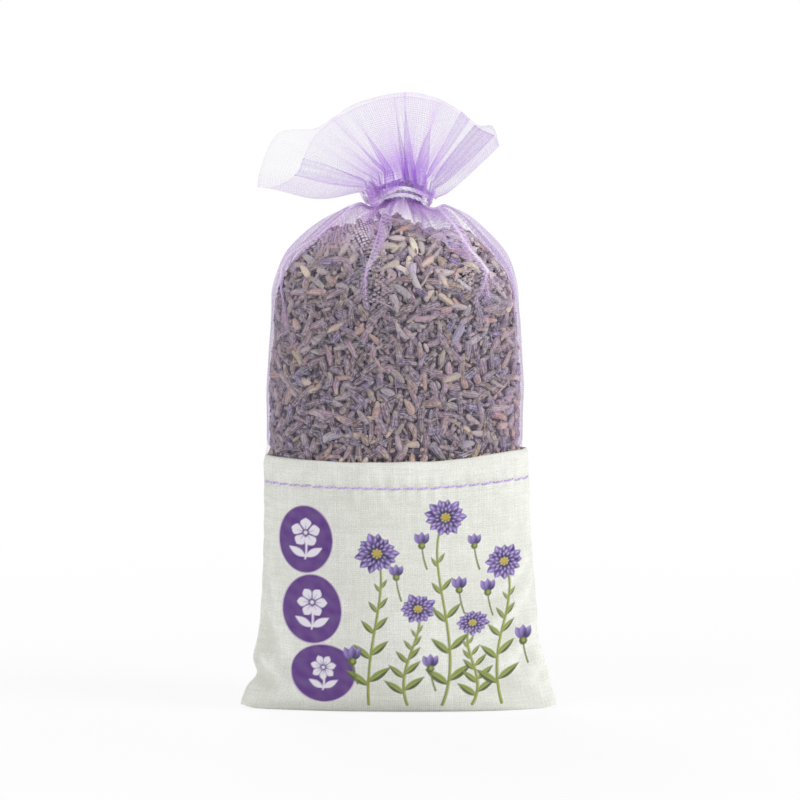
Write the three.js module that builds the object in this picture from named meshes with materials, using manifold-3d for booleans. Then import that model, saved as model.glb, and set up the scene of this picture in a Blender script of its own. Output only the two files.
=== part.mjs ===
// A lavender sachet that stands on its base: a linen pocket with a turned hem, a sheer organza
// upper bag stitched inside the hem, a fill of dried lavender buds, and a tie that gathers the
// organza into a pleated neck with a fanned ruffle above it.
// Millimetres, +Z up. The front faces -Y. The origin is on the floor, under the middle of the bag.
import * as THREE from "three";
import { mergeVertices } from "three/addons/utils/BufferGeometryUtils.js";
import Module from "manifold-3d";

const wasm = await Module();
wasm.setup();

// Driving dimensions of the bag
const CORNER_HALF_WIDTH = 40;
const BELLY_HALF_DEPTH = 17;
const NECK_MIDDLE_HEIGHT = 130.2;
const NECK_LENGTH = 4.4;
const NECK_HALF_WIDTH = 6;
const NECK_HALF_DEPTH = 4.6;
const NECK_LEAN = 0.9;
const NECK_ARCH = 2.4;
const PLEAT_DEPTH = 4.2;
const CORNER_LIFT = 2;

// Driving dimensions of the ruffle, measured from the top of the neck
const RUFFLE_HEIGHT = 23.6;
const RUFFLE_LEFT_REACH = 36.3;
const RUFFLE_RIGHT_REACH = 24.3;
const RUFFLE_HALF_DEPTH = 9;
const RUFFLE_SAG = 3.8;

// Driving dimensions of the cloth, the hem and the seams
const LINEN_THICKNESS = 0.4;
const ORGANZA_THICKNESS = 0.3;
const HEM_HEIGHT = 64.4;
const HEM_DEPTH = 9;
const HEM_PLAY = 0.45;
const ORGANZA_TUCK = 11;
const SEAM_ALLOWANCE = 4;
const CLEARANCE = 0.3;

const NECK_FOOT = NECK_MIDDLE_HEIGHT - NECK_LENGTH / 2;
const NECK_TOP = NECK_MIDDLE_HEIGHT + NECK_LENGTH / 2;
const [FRONT, BACK] = [-1, 1];

// The filled bag from the floor to the foot of the neck. Each row holds, as shares: height of
// the neck's foot, width from the neck's to the corners', depth from the neck's to the belly's,
// the power that sharpens the side seams, lean, and pleat depth.
const BAG_SHARES = [
  [0, 1, 0.51, 1.2, 0, 0],
  [0.031, 0.97, 0.72, 1.3, 0.1, 0],
  [0.094, 0.9, 0.9, 1.4, 0.1, 0],
  [0.17, 0.859, 0.967, 1.35, 0.1, 0],
  [0.375, 0.812, 1, 1.25, -0.4, 0],
  [0.49, 0.803, 0.984, 1.2, -0.7, 0],
  [0.523, 0.776, 0.944, 1.15, -1.1, 0],
  [0.625, 0.779, 0.967, 1.08, -1, 0],
  [0.742, 0.756, 0.934, 1, -0.9, 0],
  [0.812, 0.735, 0.86, 1, -0.9, 0.04],
  [0.86, 0.694, 0.774, 1, -0.8, 0.25],
  [0.894, 0.644, 0.66, 1, -0.8, 0.55],
  [0.926, 0.559, 0.516, 1, -0.6, 0.82],
  [0.955, 0.45, 0.355, 1, -0.4, 1],
  [0.978, 0.309, 0.226, 1, -0.2, 0.95],
  [0.991, 0.162, 0.113, 1, 0.2, 0.8],
  [0.998, 0.059, 0.032, 1, 0.7, 0.6],
  [1, 0, 0, 1, 1, 0.48],
];
const [HEIGHT, WIDTH, DEPTH, POWER, LEAN, PLEAT] = [0, 1, 2, 3, 4, 5];

const mix = THREE.MathUtils.lerp;
const ease = (share) => THREE.MathUtils.smoothstep(share, 0, 1);

// One column of the table at a height share, on a curve that never overshoots its rows.
function bagShare(column, share) {
  const rows = BAG_SHARES;
  const at = THREE.MathUtils.clamp(share, 0, 1);
  let i = 0;
  while (i < rows.length - 2 && rows[i + 1][HEIGHT] < at) i++;
  const rise = (k) => {
    if (k < 0 || k > rows.length - 2) return 0;
    return (rows[k + 1][column] - rows[k][column]) / (rows[k + 1][HEIGHT] - rows[k][HEIGHT]);
  };
  const slope = (a, b) => (a * b <= 0 ? 0 : (2 * a * b) / (a + b));
  const span = rows[i + 1][HEIGHT] - rows[i][HEIGHT];
  const t = (at - rows[i][HEIGHT]) / span;
  const low = slope(rise(i - 1), rise(i)) * span;
  const high = slope(rise(i), rise(i + 1)) * span;
  const swell = t * t * (3 - 2 * t);
  const lowPart = t * (1 - t) * (1 - t) * low;
  const highPart = t * t * (t - 1) * high;
  return mix(rows[i][column], rows[i + 1][column], swell) + lowPart + highPart;
}

const halfWidth = (height) =>
  mix(NECK_HALF_WIDTH, CORNER_HALF_WIDTH, bagShare(WIDTH, height / NECK_FOOT));
const halfDepth = (height) =>
  mix(NECK_HALF_DEPTH, BELLY_HALF_DEPTH, bagShare(DEPTH, height / NECK_FOOT));
const lean = (height) => NECK_LEAN * bagShare(LEAN, height / NECK_FOOT);
const pleatDepth = (height) => PLEAT_DEPTH * bagShare(PLEAT, height / NECK_FOOT);

// How far a seam corner is lifted off the floor, and how far the neck arches up front and back.
const CORNER_STARTS_SHARE = 0.9;
const CORNER_HEIGHT = 7;
const ARCH_STARTS_SHARE = 0.96;
function liftAt(u, height) {
  const outward = (Math.abs(Math.cos(Math.PI * u)) - CORNER_STARTS_SHARE) / (1 - CORNER_STARTS_SHARE);
  const corner = CORNER_LIFT * ease(outward) * (1 - ease(height / CORNER_HEIGHT));
  const neckShare = (height / NECK_FOOT - ARCH_STARTS_SHARE) / (1 - ARCH_STARTS_SHARE);
  const bow = Math.sin(Math.PI * u) ** 2 - 0.5;
  return corner + NECK_ARCH * bow * ease(neckShare);
}

// A point of the bag's skin. u runs from the left seam, 0, to the right seam, 1, round the front
// or the back, and inset moves it inwards. The section is an ellipse whose ends sharpen as its
// power grows, and edge is how far it starts from the plane of the side seams.
function skin(side, u, height, inset, edge) {
  const swing = Math.PI * u;
  const wide = halfWidth(height) - inset;
  const deep = halfDepth(height) - inset - edge;
  const power = bagShare(POWER, height / NECK_FOOT);
  return new THREE.Vector3(
    lean(height) - wide * Math.cos(swing),
    side * (edge + deep * Math.sin(swing) ** power),
    height + liftAt(u, height),
  );
}

// The skin's outward directions, from its own slopes: square to it, and level.
const SLOPE_STEP = 0.05;
const SLOPE_SHARE = 0.002;
function acrossSkin(side, u, height, inset, edge) {
  const low = skin(side, Math.max(u - SLOPE_SHARE, 0), height, inset, edge);
  return skin(side, Math.min(u + SLOPE_SHARE, 1), height, inset, edge).sub(low);
}

function outward(side, u, height, inset, edge) {
  const across = acrossSkin(side, u, height, inset, edge);
  const up = skin(side, u, height + SLOPE_STEP, inset, edge).sub(skin(side, u, height - SLOPE_STEP, inset, edge));
  return across.cross(up).multiplyScalar(-side).normalize();
}

function levelOutward(side, u, height, inset, edge) {
  const across = acrossSkin(side, u, height, inset, edge);
  return new THREE.Vector3(across.y, -across.x, 0).normalize().multiplyScalar(-side);
}

// Closed bodies
function facingOut(geometry) {
  const p = geometry.getAttribute("position");
  const index = geometry.index.array;
  const corners = [0, 1, 2].map(() => new THREE.Vector3());
  let volume = 0;
  for (let i = 0; i < index.length; i += 3) {
    corners.forEach((corner, k) => corner.fromBufferAttribute(p, index[i + k]));
    volume += corners[0].dot(corners[1].clone().cross(corners[2]));
  }
  if (volume < 0) for (let i = 0; i < index.length; i += 3) [index[i], index[i + 1]] = [index[i + 1], index[i]];
  return geometry;
}

function closedBody(points, faces) {
  const geometry = new THREE.BufferGeometry().setFromPoints(points);
  geometry.setIndex(new THREE.BufferAttribute(new Uint32Array(faces.flat()), 1));
  return facingOut(geometry);
}

// A sheet of cloth: a grid of points on its middle surface, given its thickness both ways.
function clothSheet(grid, thickness) {
  const rows = grid.length;
  const columns = grid[0].length;
  const points = [];
  const faces = [];
  const normalAt = (i, j) => {
    const up = grid[Math.min(i + 1, rows - 1)][j].clone().sub(grid[Math.max(i - 1, 0)][j]);
    const across = grid[i][Math.min(j + 1, columns - 1)].clone().sub(grid[i][Math.max(j - 1, 0)]);
    return across.cross(up).normalize();
  };
  for (const way of [1, -1])
    for (let i = 0; i < rows; i++)
      for (let j = 0; j < columns; j++)
        points.push(grid[i][j].clone().addScaledVector(normalAt(i, j), (way * thickness) / 2));
  const top = (i, j) => i * columns + j;
  const under = (i, j) => rows * columns + top(i, j);
  const quad = (a, b, c, d) => faces.push([a, b, c], [a, c, d]);
  for (let i = 0; i < rows - 1; i++)
    for (let j = 0; j < columns - 1; j++) {
      quad(top(i, j), top(i, j + 1), top(i + 1, j + 1), top(i + 1, j));
      quad(under(i, j), under(i + 1, j), under(i + 1, j + 1), under(i, j + 1));
    }
  for (let j = 0; j < columns - 1; j++) {
    quad(top(0, j), under(0, j), under(0, j + 1), top(0, j + 1));
    quad(top(rows - 1, j + 1), under(rows - 1, j + 1), under(rows - 1, j), top(rows - 1, j));
  }
  for (let i = 0; i < rows - 1; i++) {
    quad(top(i + 1, 0), under(i + 1, 0), under(i, 0), top(i, 0));
    quad(top(i, columns - 1), under(i, columns - 1), under(i + 1, columns - 1), top(i + 1, columns - 1));
  }
  return closedBody(points, faces);
}

// A body lofted through rings of the same number of points. flatten gives a ring's plane.
const fromAbove = (p) => new THREE.Vector2(p.x, p.y);
const fromTheSide = (p) => new THREE.Vector2(p.y, p.z);
function loft(rings, flatten) {
  const around = rings[0].length;
  const faces = [];
  for (let i = 0; i < rings.length - 1; i++)
    for (let j = 0; j < around; j++) {
      const [a, b] = [i * around + j, i * around + ((j + 1) % around)];
      faces.push([a, b, b + around], [a, b + around, a + around]);
    }
  const last = (rings.length - 1) * around;
  const isLoop = (ring) => (THREE.ShapeUtils.isClockWise(ring.map(flatten)) ? -1 : 1);
  for (const [ring, first, start] of [[rings[0], true, 0], [rings.at(-1), false, last]])
    for (const [a, b, c] of THREE.ShapeUtils.triangulateShape(ring.map(flatten), []))
      faces.push(first === isLoop(ring) > 0 ? [start + c, start + b, start + a] : [start + a, start + b, start + c]);
  return closedBody(rings.flat(), faces);
}

// A tube of round section along points, thick as radiusAt says at each of them.
function tube(points, radiusAt, sides) {
  const rings = points.map((point, i) => {
    const along = points[Math.min(i + 1, points.length - 1)].clone().sub(points[Math.max(i - 1, 0)]).normalize();
    const level = new THREE.Vector3(0, 0, 1).cross(along).normalize();
    const up = along.clone().cross(level);
    return Array.from({ length: sides }, (_, k) => {
      const turn = (2 * Math.PI * k) / sides;
      return point.clone()
        .addScaledVector(level, radiusAt(i) * Math.cos(turn))
        .addScaledVector(up, radiusAt(i) * Math.sin(turn));
    });
  });
  const faces = [];
  for (let i = 0; i < rings.length - 1; i++)
    for (let j = 0; j < sides; j++) {
      const [a, b] = [i * sides + j, i * sides + ((j + 1) % sides)];
      faces.push([a, b, b + sides], [a, b + sides, a + sides]);
    }
  const last = (rings.length - 1) * sides;
  for (let j = 1; j < sides - 1; j++) faces.push([0, j + 1, j], [last, last + j, last + j + 1]);
  return closedBody(rings.flat(), faces);
}

// Joining and cutting
function solid(geometry) {
  const bare = geometry.clone();
  bare.deleteAttribute("normal");
  bare.deleteAttribute("uv");
  const merged = mergeVertices(bare);
  const vertProperties = merged.getAttribute("position").array;
  const triVerts = new Uint32Array(merged.index.array);
  return new wasm.Manifold(new wasm.Mesh({ numProp: 3, vertProperties, triVerts }));
}

function geometryOf(manifold) {
  const mesh = manifold.getMesh();
  const geometry = new THREE.BufferGeometry();
  geometry.setAttribute("position", new THREE.BufferAttribute(mesh.vertProperties, 3));
  geometry.setIndex(new THREE.BufferAttribute(mesh.triVerts, 1));
  return geometry;
}

const spread = (count, from, to) => Array.from({ length: count }, (_, i) => mix(from, to, i / (count - 1)));
const columnShares = (side, columns, from, to) => (side === FRONT ? spread(columns, from, to) : spread(columns, to, from));

// Materials
const linen = new THREE.MeshStandardMaterial({ color: "#e4e5df", roughness: 0.95, metalness: 0 });
const organza = new THREE.MeshStandardMaterial({
  color: "#b795d6",
  roughness: 0.55,
  metalness: 0,
  transparent: true,
  opacity: 0.4,
});
const buds = new THREE.MeshStandardMaterial({ color: "#857a98", roughness: 0.9, metalness: 0 });
const lilacThread = new THREE.MeshStandardMaterial({ color: "#b9a0d8", roughness: 0.6, metalness: 0 });
const tieRibbon = new THREE.MeshStandardMaterial({ color: "#cfc0e4", roughness: 0.5, metalness: 0 });
const seamThread = new THREE.MeshStandardMaterial({ color: "#d8cfe6", roughness: 0.7, metalness: 0 });

// Seam allowances: the raw edges of a panel, turned inwards at the sides and the bottom.
const SEAM_FACE = CLEARANCE / 2;
const linenEdge = SEAM_FACE + LINEN_THICKNESS / 2;
const organzaEdge = SEAM_FACE + ORGANZA_THICKNESS / 2;
const SEAM_FOOT = 6;
const SEAM_CLIP = 4;
const NECK_SEAM_SHARE = 0.3;
const SIDE_SEAM_NARROWS_SHARE = 0.8;
const SIDE_SEAM_TOP_SHARE = 0.9;

function allowanceWidth(height) {
  const clipped = ease((height - SEAM_FOOT) / SEAM_CLIP + NECK_SEAM_SHARE);
  const narrowed = (height / NECK_FOOT - SIDE_SEAM_NARROWS_SHARE) / (SIDE_SEAM_TOP_SHARE - SIDE_SEAM_NARROWS_SHARE);
  return SEAM_ALLOWANCE * clipped * mix(1, NECK_SEAM_SHARE, ease(narrowed));
}

function sideAllowance(side, left, heights, thickness) {
  const rings = heights.map((height) => {
    const outer = halfWidth(height) - thickness / 2;
    const inner = halfWidth(height) - allowanceWidth(height);
    const [xOuter, xInner] = [outer, inner].map((x) => lean(height) + left * x);
    const [yNear, yFar] = [SEAM_FACE, SEAM_FACE + thickness].map((y) => side * y);
    const z = height + liftAt(0, height);
    return [[xOuter, yNear], [xOuter, yFar], [xInner, yFar], [xInner, yNear]].map(([x, y]) => new THREE.Vector3(x, y, z));
  });
  return solid(loft(rings, fromAbove));
}

const BOTTOM_SEAM_SHARE = 0.76;
const bottomSeamHalf = CORNER_HALF_WIDTH * BOTTOM_SEAM_SHARE;
const bottomAllowanceTop = (x) =>
  SEAM_ALLOWANCE * mix(1, NECK_SEAM_SHARE, ease(1 + (Math.abs(x) - bottomSeamHalf) / SEAM_CLIP));

function bottomAllowance(side) {
  const rings = spread(BOTTOM_SEAM_STEPS, -bottomSeamHalf, bottomSeamHalf).map((x) => {
    const [low, high] = [LINEN_THICKNESS / 2, bottomAllowanceTop(x)];
    const [near, far] = [SEAM_FACE, SEAM_FACE + LINEN_THICKNESS].map((y) => side * y);
    return [[near, low], [far, low], [far, high], [near, high]].map(([y, z]) => new THREE.Vector3(x, y, z));
  });
  return solid(loft(rings, fromTheSide));
}

// Linen panels
const BOTTOM_SEAM_STEPS = 13;
const LINEN_COLUMNS = 17;
const LINEN_WALL_ROWS = 12;
const FLAT_SHARE = 0.84;
const SIDE_PLAY_SHARE = 0.04;
const BASE_BEND = 1;

function linenPanel(side) {
  const middle = LINEN_THICKNESS / 2;
  const flapInset = LINEN_THICKNESS + HEM_PLAY + middle;
  const foldRadius = (flapInset - middle) / 2;
  const foldHeight = HEM_HEIGHT - foldRadius - middle;
  const rows = [];
  const shares = columnShares(side, LINEN_COLUMNS, 0, 1);
  for (const share of [0, FLAT_SHARE])
    rows.push(shares.map((u) => {
      const edge = skin(side, u, 0, middle, linenEdge);
      return new THREE.Vector3(edge.x, mix(side * linenEdge, edge.y, share), edge.z + middle);
    }));
  for (const height of spread(LINEN_WALL_ROWS, 0, 1).map((share) => mix(BASE_BEND, foldHeight, share ** 1.3)))
    rows.push(shares.map((u) => skin(side, u, height, middle, linenEdge)));
  for (const turn of [0.25, 0.5, 0.75, 1]) {
    const play = SIDE_PLAY_SHARE * turn;
    const inset = middle + foldRadius * (1 - Math.cos(Math.PI * turn));
    const height = foldHeight + foldRadius * Math.sin(Math.PI * turn);
    rows.push(shares.map((u) => skin(side, mix(play, 1 - play, u), height, inset, linenEdge)));
  }
  for (const height of spread(HEM_ROWS, foldHeight, HEM_HEIGHT - HEM_DEPTH).slice(1))
    rows.push(shares.map((u) => skin(side, mix(SIDE_PLAY_SHARE, 1 - SIDE_PLAY_SHARE, u), height, flapInset, linenEdge)));
  const seamHeights = spread(SIDE_SEAM_STEPS, SEAM_FOOT, foldHeight - HEM_PLAY);
  return solid(clothSheet(rows, LINEN_THICKNESS))
    .add(sideAllowance(side, -1, seamHeights, LINEN_THICKNESS))
    .add(sideAllowance(side, 1, seamHeights, LINEN_THICKNESS))
    .add(bottomAllowance(side));
}
const HEM_ROWS = 3;
const SIDE_SEAM_STEPS = 12;

// Organza panels: tucked in behind the hem, up round the buds, pleated into the neck, then
// fanned out to the free edge of the ruffle. Each rim row holds, as shares, the way across from
// the neck's middle line to the reach on that side, the way up to the ruffle's height, and
// the way out to the ruffle's half depth.
const RIM_SHARES = {
  [FRONT]: [
    [-1, -0.017, 0],
    [-0.865, 0.017, 0.55],
    [-0.73, 0.157, 1],
    [-0.667, 0.364, 0.8],
    [-0.598, 0.56, 0.45],
    [-0.328, 0.82, 0.75],
    [-0.03, 0.98, 0.35],
    [0.321, 0.94, 0.7],
    [0.56, 0.82, 0.3],
    [0.798, 0.63, 0.6],
    [0.934, 0.58, 0.5],
    [1, 0.421, 0],
  ],
  [BACK]: [
    [-1, -0.017, 0],
    [-0.975, 0.21, 0.35],
    [-0.923, 0.434, 0.7],
    [-0.857, 0.57, 0.85],
    [-0.771, 0.609, 0.7],
    [-0.598, 0.579, 0.4],
    [-0.328, 0.843, 0.85],
    [0.029, 1, 0.5],
    [0.321, 0.96, 0.9],
    [0.56, 0.834, 0.5],
    [0.798, 0.651, 0.8],
    [0.934, 0.638, 0.45],
    [1, 0.421, 0],
  ],
};
const PLEATS = 6;
const SEAM_PLEAT_SHARE = 0.6;
const TUCK_SIDE_SHARE = 0.055;
const ORGANZA_COLUMNS = 25;
const ORGANZA_HEIGHT_SHARES = [0.56, 0.63, 0.7, 0.76, 0.81, 0.85, 0.88, 0.905, 0.93, 0.95, 0.967, 0.981, 0.991, 0.997, 1];
const RUFFLE_SHARES = [0.05, 0.14, 0.27, 0.42, 0.6, 0.8, 1];
const TUCK_PLAY = 0.4;
const HEM_LAYERS = 2 * LINEN_THICKNESS + HEM_PLAY + TUCK_PLAY;
const TUCK_RISE = 4;

// How far the organza lies inside the bag's skin: behind the hem's two layers, then on the skin.
const organzaInset = (height) =>
  ORGANZA_THICKNESS / 2 + HEM_LAYERS * (1 - ease((height - HEM_HEIGHT) / TUCK_RISE));

function pleatedSkin(side, u, height) {
  const share = TUCK_SIDE_SHARE * (1 - ease((height - HEM_HEIGHT) / TUCK_RISE));
  const at = mix(share, 1 - share, u);
  const inset = organzaInset(height);
  const fromSeam = mix(SEAM_PLEAT_SHARE, 1, ease(Math.sin(Math.PI * u) / SEAM_PLEAT_SHARE));
  const depth = (fromSeam * pleatDepth(height) * (1 - Math.cos(2 * Math.PI * PLEATS * u))) / 2;
  return skin(side, at, height, inset, organzaEdge)
    .addScaledVector(levelOutward(side, at, height, inset, organzaEdge), -depth);
}

// A pleated section on the neck itself, where the cloth stands upright.
function neckSection(side, u, height) {
  return pleatedSkin(side, u, NECK_FOOT).add(new THREE.Vector3(0, 0, height - NECK_FOOT));
}

function ruffleRim(side) {
  return new THREE.CatmullRomCurve3(
    RIM_SHARES[side].map(([across, up, out]) => new THREE.Vector3(
      NECK_LEAN + across * (across < 0 ? RUFFLE_LEFT_REACH : RUFFLE_RIGHT_REACH),
      side * (organzaEdge + out * RUFFLE_HALF_DEPTH),
      NECK_TOP + up * RUFFLE_HEIGHT,
    )),
    false,
    "centripetal",
  );
}

function ruffleRows(side, shares) {
  const rim = ruffleRim(side);
  return RUFFLE_SHARES.map((out) => shares.map((u) => {
    const droop = RUFFLE_SAG * (1 - ease(u / DROOP_ENDS_SHARE)) * Math.sin(Math.PI * out) ** 2;
    return neckSection(side, u, NECK_TOP).lerp(rim.getPointAt(u), out).add(new THREE.Vector3(0, 0, -droop));
  }));
}
const DROOP_ENDS_SHARE = 0.2;

function organzaPanel(side) {
  const shares = columnShares(side, ORGANZA_COLUMNS, 0, 1);
  const heights = [
    HEM_HEIGHT - ORGANZA_TUCK,
    HEM_HEIGHT - ORGANZA_TUCK / 2,
    HEM_HEIGHT,
    HEM_HEIGHT + TUCK_RISE / 2,
    ...ORGANZA_HEIGHT_SHARES.map((share) => share * NECK_FOOT).filter((height) => height > HEM_HEIGHT + TUCK_RISE),
  ];
  const rows = heights.map((height) => shares.map((u) => pleatedSkin(side, u, height)));
  for (const height of [NECK_MIDDLE_HEIGHT, NECK_TOP]) rows.push(shares.map((u) => neckSection(side, u, height)));
  rows.push(...ruffleRows(side, shares));
  const seamHeights = spread(SIDE_SEAM_STEPS, HEM_HEIGHT + TUCK_RISE, NECK_FOOT * SIDE_SEAM_TOP_SHARE);
  return solid(clothSheet(rows, ORGANZA_THICKNESS))
    .add(sideAllowance(side, -1, seamHeights, ORGANZA_THICKNESS))
    .add(sideAllowance(side, 1, seamHeights, ORGANZA_THICKNESS));
}

// Overlocked seams: a sleeve of looped thread over the raw edges of both panels.
const OVERLOCK_THREAD = 0.3;
const OVERLOCK_BITE = 2;
const OVERLOCK_FOOT = 10;
const OVERLOCK_STEPS = 12;
const allowanceFace = SEAM_FACE + LINEN_THICKNESS;
const sleeveInner = allowanceFace + CLEARANCE;
const sleeveOuter = sleeveInner + OVERLOCK_THREAD;

// The sleeve's outline round an edge that points along +first, from its open side.
const sleeveOutline = (edge) => [
  [edge - OVERLOCK_BITE, -sleeveOuter],
  [edge + CLEARANCE + OVERLOCK_THREAD, -sleeveOuter],
  [edge + CLEARANCE + OVERLOCK_THREAD, sleeveOuter],
  [edge - OVERLOCK_BITE, sleeveOuter],
  [edge - OVERLOCK_BITE, sleeveInner],
  [edge + CLEARANCE, sleeveInner],
  [edge + CLEARANCE, -sleeveInner],
  [edge - OVERLOCK_BITE, -sleeveInner],
];

function sideSeam(left) {
  const heights = spread(OVERLOCK_STEPS, OVERLOCK_FOOT, NECK_FOOT * SIDE_SEAM_NARROWS_SHARE);
  return loft(heights.map((height) => {
    const edge = allowanceWidth(height) - halfWidth(height);
    return sleeveOutline(edge).map(([x, y]) => new THREE.Vector3(lean(height) - left * x, y, height));
  }), fromAbove);
}

function bottomSeam() {
  const half = bottomSeamHalf - SEAM_CLIP;
  return loft(spread(BOTTOM_SEAM_STEPS, -half, half).map((x) =>
    sleeveOutline(bottomAllowanceTop(x)).map(([z, y]) => new THREE.Vector3(x, y, z)),
  ), fromTheSide);
}

// Hem stitching: one thread of slanting stitches that dips into the linen between them.
const STITCH_DROP = 6.5;
const STITCH_PITCH = 3.4;
const STITCH_RADIUS = 0.35;
const STITCH_DIP_SHARE = 0.5;
const STITCH_SIDES = 5;
const STITCH_ENDS_SHARE = 0.02;
const STEPS_A_STITCH = 2;

function hemStitching(side) {
  const line = new THREE.CatmullRomCurve3(
    spread(STITCH_LINE_POINTS, STITCH_ENDS_SHARE, 1 - STITCH_ENDS_SHARE)
      .map((u) => skin(side, u, HEM_HEIGHT - STITCH_DROP, 0, linenEdge)),
  );
  const stitches = Math.max(1, Math.round(line.getLength() / STITCH_PITCH));
  const steps = stitches * STEPS_A_STITCH;
  const radiusAt = (i) => STITCH_RADIUS * mix(STITCH_DIP_SHARE, 1, Math.abs(Math.sin((Math.PI * i) / STEPS_A_STITCH)));
  const points = Array.from({ length: steps + 1 }, (_, i) => {
    const point = line.getPointAt(i / steps);
    const tangent = line.getTangentAt(i / steps);
    const out = new THREE.Vector3(tangent.y, -tangent.x, 0).normalize().multiplyScalar(-side);
    return point.addScaledVector(out, CLEARANCE + STITCH_RADIUS);
  });
  return tube(points, radiusAt, STITCH_SIDES);
}
const STITCH_LINE_POINTS = 41;

// Neck tie: a thin ribbon cord wound twice round the pleats, its ends drawn into a knot behind.
const TIE_DIAMETER = 1.1;
const TIE_PITCH = 1.65;
const TIE_TURNS = 2;
const TIE_STEPS = 24;
const TIE_SIDES = 6;
const TIE_KNOT_SHARE = 0.042;
const TIE_RISE_SHARE = 0.12;
const TIE_DRAWN_SHARE = 0.5;
const tieRadius = TIE_DIAMETER / 2;
const tieLift = TIE_DIAMETER + TUCK_PLAY;

// The tie's middle line at a number of turns from the knot, 0 to TIE_TURNS.
function tiePoint(turns) {
  const angle = 2 * Math.PI * turns;
  const fromEnd = Math.min(turns, TIE_TURNS - turns);
  const lifted = tieLift * (1 - ease((fromEnd - TIE_KNOT_SHARE) / TIE_RISE_SHARE));
  const reach = CLEARANCE + tieRadius + lifted;
  const arch = NECK_ARCH * (Math.cos(angle) ** 2 - 0.5);
  const climb = TIE_PITCH * (turns - TIE_TURNS / 2);
  const drawn = mix(climb, 0, TIE_DRAWN_SHARE * (lifted / tieLift) ** 3);
  return new THREE.Vector3(
    NECK_LEAN + (NECK_HALF_WIDTH + reach) * Math.sin(angle),
    (NECK_HALF_DEPTH + reach) * Math.cos(angle),
    NECK_MIDDLE_HEIGHT + arch + drawn,
  );
}

const tiePoints = () =>
  spread(TIE_TURNS * TIE_STEPS + 1, TIE_KNOT_SHARE, TIE_TURNS - TIE_KNOT_SHARE).map(tiePoint);

// The least gap that the wound cord keeps to itself, with neighbours along the cord left out.
function leastGap(points, diameter) {
  let least = Infinity;
  const fine = new THREE.CatmullRomCurve3(points).getSpacedPoints(points.length * 6);
  const step = fine[0].distanceTo(fine[1]);
  const skip = Math.ceil((4 * diameter) / step);
  for (let i = 0; i < fine.length; i++)
    for (let j = i + skip; j < fine.length; j++) least = Math.min(least, fine[i].distanceTo(fine[j]));
  return least - diameter;
}

// The knot: two bights of the cord crossed through each other, with two short trimmed tails.
const KNOT_BIGHT_RADIUS = 0.95;
const KNOT_TILT = 0.5;
const KNOT_STAND = 1;
const TAIL_LENGTH = 7;
const TAIL_SPLAY = 3;
const TAIL_STAND = 4;
const TAIL_STEPS = 6;

function tieKnot(middle) {
  const bight = (way) => {
    const ring = new THREE.TorusGeometry(KNOT_BIGHT_RADIUS, tieRadius, TIE_SIDES, TIE_SIDES * 2);
    ring.rotateX(Math.PI / 2 + way * KNOT_TILT).rotateZ(way * KNOT_TILT);
    return solid(ring).translate([0, 0, (way * tieRadius) / 2]);
  };
  const tail = (way) => solid(tube(
    spread(TAIL_STEPS, 0, 1).map((share) => new THREE.Vector3(
      way * TAIL_SPLAY * share,
      TAIL_STAND * Math.sin((Math.PI / 2) * share),
      -TAIL_LENGTH * share * share,
    )),
    () => tieRadius,
    TIE_SIDES,
  ));
  const lump = bight(1).add(bight(-1)).add(tail(1)).add(tail(-1));
  return geometryOf(lump.translate([middle.x, middle.y, middle.z]));
}

// Lavender fill: the packed buds as one mass inside the cloth, cut clear of the seams.
const BUD_LENGTH = 6.2;
const BUD_RADIUS = 0.95;
const FILL_TOP_SHARE = 0.935;
const FILL_AROUND = 15;
const FILL_ROWS = 13;
const FILL_CORNER_INSET = 6;
const FILL_CORNER_HEIGHT = 12;
const FILL_DOME_SHARES = [1, 0.93, 0.72, 0.36];
const FILL_DOME_RISE = 4;
const PLEAT_ROOM_SHARE = 1.2;
const budInset = ORGANZA_THICKNESS + 2 * CLEARANCE + BUD_RADIUS;
const budLayer = budInset + BUD_RADIUS + CLEARANCE;
const clothLayers = HEM_LAYERS + ORGANZA_THICKNESS + CLEARANCE;

function fillInset(height) {
  const above = ease((height - HEM_HEIGHT) / TUCK_RISE);
  const pleated = ORGANZA_THICKNESS + 4 * CLEARANCE + pleatDepth(height) * PLEAT_ROOM_SHARE;
  return Math.max(mix(clothLayers + CLEARANCE, budLayer, above), pleated);
}

function fillRing(height, z, scale) {
  const corner = FILL_CORNER_INSET * (1 - ease(height / FILL_CORNER_HEIGHT));
  const wide = (halfWidth(height) - fillInset(height) - corner) * scale;
  const deep = (halfDepth(height) - Math.min(fillInset(height), clothLayers + height)) * scale;
  const power = bagShare(POWER, height / NECK_FOOT);
  return Array.from({ length: 2 * FILL_AROUND }, (_, k) => {
    const swing = (Math.PI * k) / FILL_AROUND;
    const rise = Math.abs(Math.sin(swing)) ** power * Math.sign(Math.sin(swing));
    return new THREE.Vector3(lean(height) + wide * Math.cos(swing), deep * rise, z);
  });
}

// The room that the seams need inside the fill.
function seamRoom() {
  const room = sleeveOuter + CLEARANCE;
  const past = OVERLOCK_THREAD + 3 * CLEARANCE;
  const heights = spread(OVERLOCK_STEPS, -CLEARANCE, NECK_FOOT);
  const side = (left) => solid(loft(heights.map((height) => {
    const inner = halfWidth(height) - SEAM_ALLOWANCE - past;
    const outer = CORNER_HALF_WIDTH + SEAM_ALLOWANCE;
    return [[inner, -room], [outer, -room], [outer, room], [inner, room]]
      .map(([x, y]) => new THREE.Vector3(left * x + lean(height), y, height));
  }), fromAbove));
  const top = SEAM_ALLOWANCE + past;
  const bottom = solid(loft([-CORNER_HALF_WIDTH, CORNER_HALF_WIDTH].map((x) =>
    [[-room, -top], [room, -top], [room, top], [-room, top]].map(([y, z]) => new THREE.Vector3(x, y, z)),
  ), fromTheSide));
  return side(-1).add(side(1)).add(bottom);
}

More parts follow.
